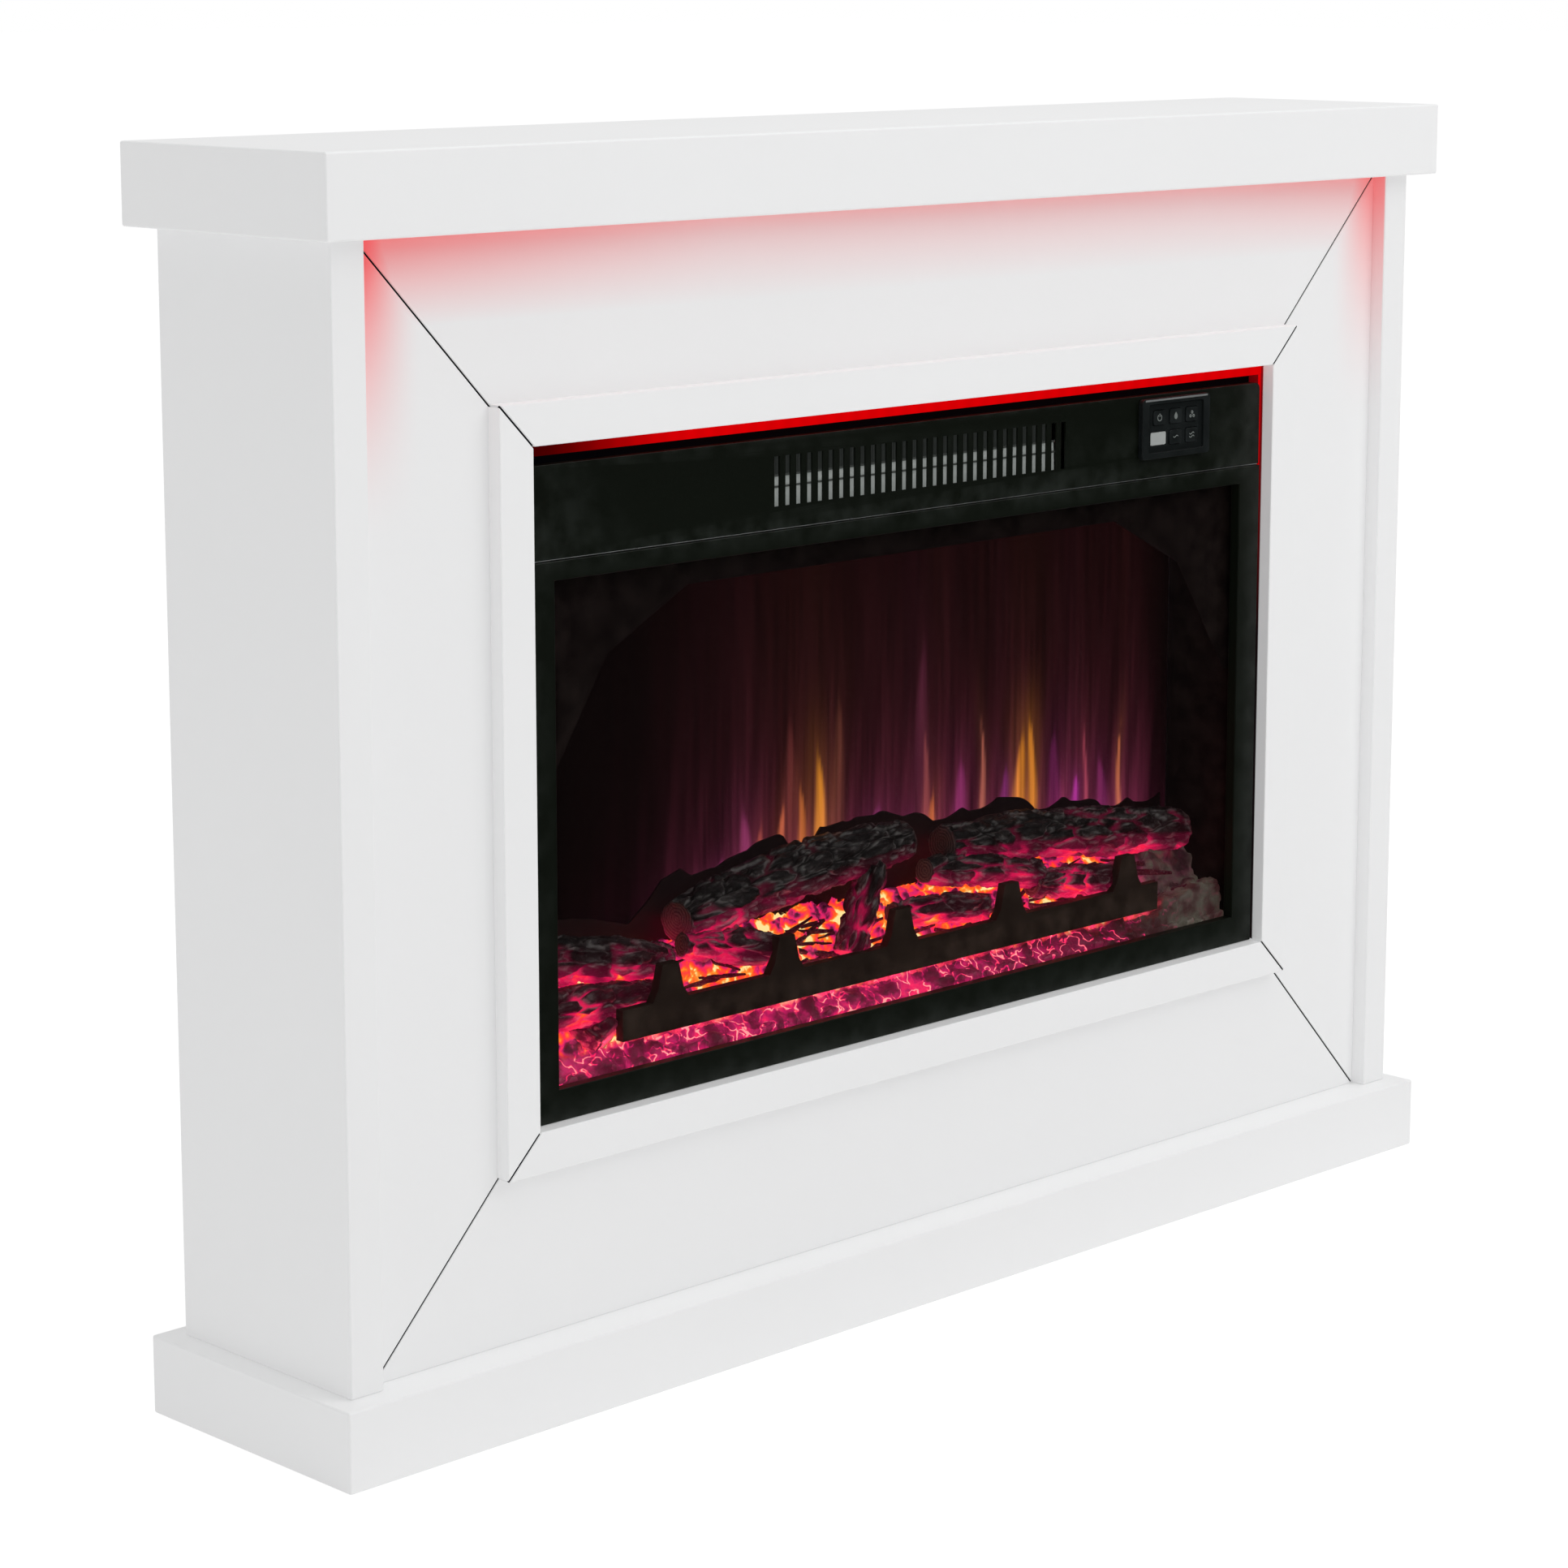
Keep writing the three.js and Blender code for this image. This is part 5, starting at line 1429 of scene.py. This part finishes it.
def flameLight(x, z):
    # the light on the film at each point: a maroon haze, plum near the logs, and bright tongues
    draw = np.random.default_rng(film["seed"])
    streaks = np.zeros_like(x)
    for octave, (turns, weight) in enumerate(((14, 0.5), (33, 0.35), (71, 0.25), (150, 0.15))):
        phase, lean, wave = draw.uniform(0, 2 * math.pi, 3)
        sway = 0.006 * np.sin(wave + z * 22 + octave)
        streaks += weight * np.sin(2 * math.pi * turns * (x + sway) + phase + lean * np.sin(z * 9 + phase))
    streaks = np.clip(0.75 + 0.38 * streaks, 0.15, 1.5)
    spread = 1 / (1 + np.exp(-(x + 0.15) / 0.026)) / (1 + np.exp((x - 0.335) / 0.01))
    up = np.clip((z - 0.30) / 0.30, 0, 1)
    haze = (0.06 + 0.94 * spread) * (0.8 + 0.2 * streaks) * (1 - 0.62 * up)
    low = spread * np.exp(-np.clip(z - 0.312, 0, 1) / 0.036)
    mid = spread * np.exp(-np.clip(z - 0.33, 0, 1) / 0.075)
    light = haze[:, None] * np.array(film["maroon"]) + (low * streaks)[:, None] * np.array(film["plum"])
    light += (mid * streaks ** 2)[:, None] * np.array(film["rust"])
    for centre, foot, tip, width, colour in tongues:
        t = np.clip((z * 1000 - foot) / (tip - foot), -0.6, 1.9)
        lean = 4 * np.sin(t * 2.1 + centre) * np.clip(t, 0, 1)
        taper = width * np.clip(1.08 - np.clip(t, 0, 1), 0.1, 1) ** 0.7
        off = np.abs(x * 1000 - centre - lean)
        blade = np.exp(-((off / (0.6 * taper)) ** 3))
        fade = 1 / (1 + np.exp((t - 0.9) / 0.06)) * np.clip(1 + np.minimum(t, 0) * 1.2, 0, 1)
        halo = 0.11 * np.exp(-((off / (1.3 * width)) ** 2)) / (1 + np.exp((t - 1.15) / 0.2))
        light += (blade * fade + halo)[:, None] * np.array(colour)
    return light


emberGlow = {"power": 0.5, "colour": (1.0, 0.06, 0.13), "size": (0.62, 0.012),
             "from": (0.012, 0.236), "towards": (0.05, 0.262)}


def makeEmberLight():
    # each place is a depth behind the bed's front and a height
    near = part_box("ember_bed")[0].y
    start, end = ((0, near + depth, height) for depth, height in (emberGlow["from"], emberGlow["towards"]))
    areaLight("ember_light", start, end, emberGlow["size"], emberGlow["power"], emberGlow["colour"])


def makeFlames():
    low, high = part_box("flame_screen")
    columns = int((high.x - low.x) / film["step"]) + 1
    rows = int((high.z - low.z) / film["step"]) + 1
    xs, zs = np.linspace(low.x, high.x, columns), np.linspace(low.z, high.z, rows)
    verts = [(x, low.y, z) for z in zs for x in xs] + [
        (x, high.y, z) for z in (low.z, high.z) for x in (low.x, high.x)
    ]
    faces = []
    for r in range(rows - 1):
        start = r * columns
        faces += [
            (start + c, start + c + 1, start + c + 1 + columns, start + c + columns)
            for c in range(columns - 1)
        ]
    back = rows * columns
    lastRow = (rows - 1) * columns
    faces.append((back + 1, back, back + 2, back + 3))
    faces.append(tuple([back, back + 1] + [c for c in range(columns - 1, -1, -1)]))
    faces.append(tuple([back + 3, back + 2] + [lastRow + c for c in range(columns)]))
    faces.append(tuple([back + 2, back] + [r * columns for r in range(rows)]))
    faces.append(tuple([back + 1, back + 3] + [r * columns + columns - 1 for r in range(rows - 1, -1, -1)]))
    screen = meshObject("flame_film", verts, faces)
    points = np.array([tuple(v.co) for v in screen.data.vertices])
    light = np.ones((len(points), 4), np.float32)
    light[:, :3] = flameLight(points[:, 0], points[:, 2])
    stored = screen.data.attributes.new("filmLight", "FLOAT_COLOR", "POINT")
    stored.data.foreach_set("color", light.ravel())
    finish(screen, flameFilm, "flame_screen", "flame_screen")


makeLogs()
makeKindling()
makeEmbers()
makeLedge()
makeBacking()
makeEmberLight()
makeFlames()
print("logs, embers and flames made")


strips = {"colour": (1.0, 0.0, 0.002), "mantelPower": 0.9, "framePower": 0.66}
sideLine = {"width": 0.0011, "front": -0.0765, "back": -0.0745, "foot": 0.42}


def makeLights():
    mantelLamp = lampMaterial("mantel_lamp", strips["colour"], strips["mantelPower"])
    frameLamp = lampMaterial("frame_lamp", strips["colour"], strips["framePower"], fade=(-0.37, -0.22))
    softNode("mantel_light_strip", 0.0008, mantelLamp, "red_light")
    softNode("frame_light_strip", 0.0012, frameLamp, "red_light")
    # the strip's light falling a little way down the crack beside the insert, painted as a glowing line that
    # fades downwards
    paintedSideLight = lampMaterial(
        "painted_side_light", strips["colour"], strips["framePower"], fade=(0.44, 0.64), axis="Z",
    )
    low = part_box("frame_right")[0]
    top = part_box("frame_light_strip")[0].z
    corner = (low.x - sideLine["width"], sideLine["front"], sideLine["foot"])
    line = boxMesh("side_light_line", corner, (low.x, sideLine["back"], top))
    soften(line, 0.0002, 1)
    finish(line, paintedSideLight, "red_light")


heater = {"pitch": 0.0024, "finDepth": 0.008, "finRise": 0.33, "sheet": 0.0003, "rod": 0.0008, "end": 0.006,
          "rods": (0.36, 0.55)}


def makeHeater():
    # upright fins, a bright sloping reflector below, and two guard wires in front
    # the reflector is painted bright and glowing, and the fins and guard wires dark: painted light and shade
    # behind the outlet slots
    low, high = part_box("heating_element")
    tall = high.z - low.z
    half, rise = heater["sheet"] / 2, heater["finRise"] * tall
    fin = boxMesh("fin_template", (-half, 0, -rise), (half, heater["finDepth"], rise))
    xs = np.arange(low.x + heater["end"], high.x - heater["end"], heater["pitch"])
    points = [(x, low.y + 0.002, (low.z + high.z) / 2 + 0.1 * tall) for x in xs]
    copiesAt("heater_fins", points, fin, (0, 0, 0), shadedMetal, "aluminium")
    bpy.data.objects.remove(fin)
    y = low.y
    profile = [(y + 0.0105, low.z), (y + 0.0004, low.z + 0.0012), (y + 0.0012, low.z + 0.52 * tall),
               (y + 0.0105, low.z + 0.54 * tall)]
    verts = [(x, py, pz) for x in (low.x, high.x) for py, pz in profile]
    faces = [(0, 1, 2, 3), (7, 6, 5, 4), (0, 4, 5, 1), (1, 5, 6, 2), (2, 6, 7, 3), (3, 7, 4, 0)]
    reflector = meshObject("heater_reflector", verts, faces)
    soften(reflector, 0.0005)
    finish(reflector, litMetal, "aluminium", "heating_element")
    for index, height in enumerate(heater["rods"]):
        z = low.z + height * tall
        turned = [(0, low.x), (heater["rod"], low.x), (heater["rod"], high.x), (0, high.x)]
        rod = lathe("guard_wire_" + "ab"[index], turned, 10)
        rod.data.transform(Matrix.Translation((0, y - 0.0004, z)) @ Matrix.Rotation(math.pi / 2, 4, "Y"))
        finish(rod, shadedMetal, "aluminium")


def makeWorks():
    # the lid's near-black coat paints the shade in the gap over the insert
    softNode("casing_lid", 0.0003, shadeCoat, "zinc_steel", 1)
    zinced = ("casing_wrap", "left_wall_bracket", "right_wall_bracket", "fan_housing", "spindle_motor")
    for nodeName in zinced:
        softNode(nodeName, 0.0003, zincSheet, "zinc_steel", 1)
    paintNode("rear_cover", zincSheet)
    for nodeName in ("flame_spindle", "fan_impeller"):
        paintNode(nodeName, brightSheet)
    for nodeName in ("control_circuit_board", "flame_light_board", "ember_light_board"):
        softNode(nodeName, 0.0002, greenBoard, "circuit_board", 1)
    softNode("fan_motor", 0.0008, copperWire, "copper_winding")
    softNode("cable_gland", 0.0007, blackPlastic, "black_plastic")
    softNode("spindle_bearing", 0.0005, blackPlastic, "black_plastic")


makeLights()
makeHeater()
makeWorks()
print("lights, heater and works made")
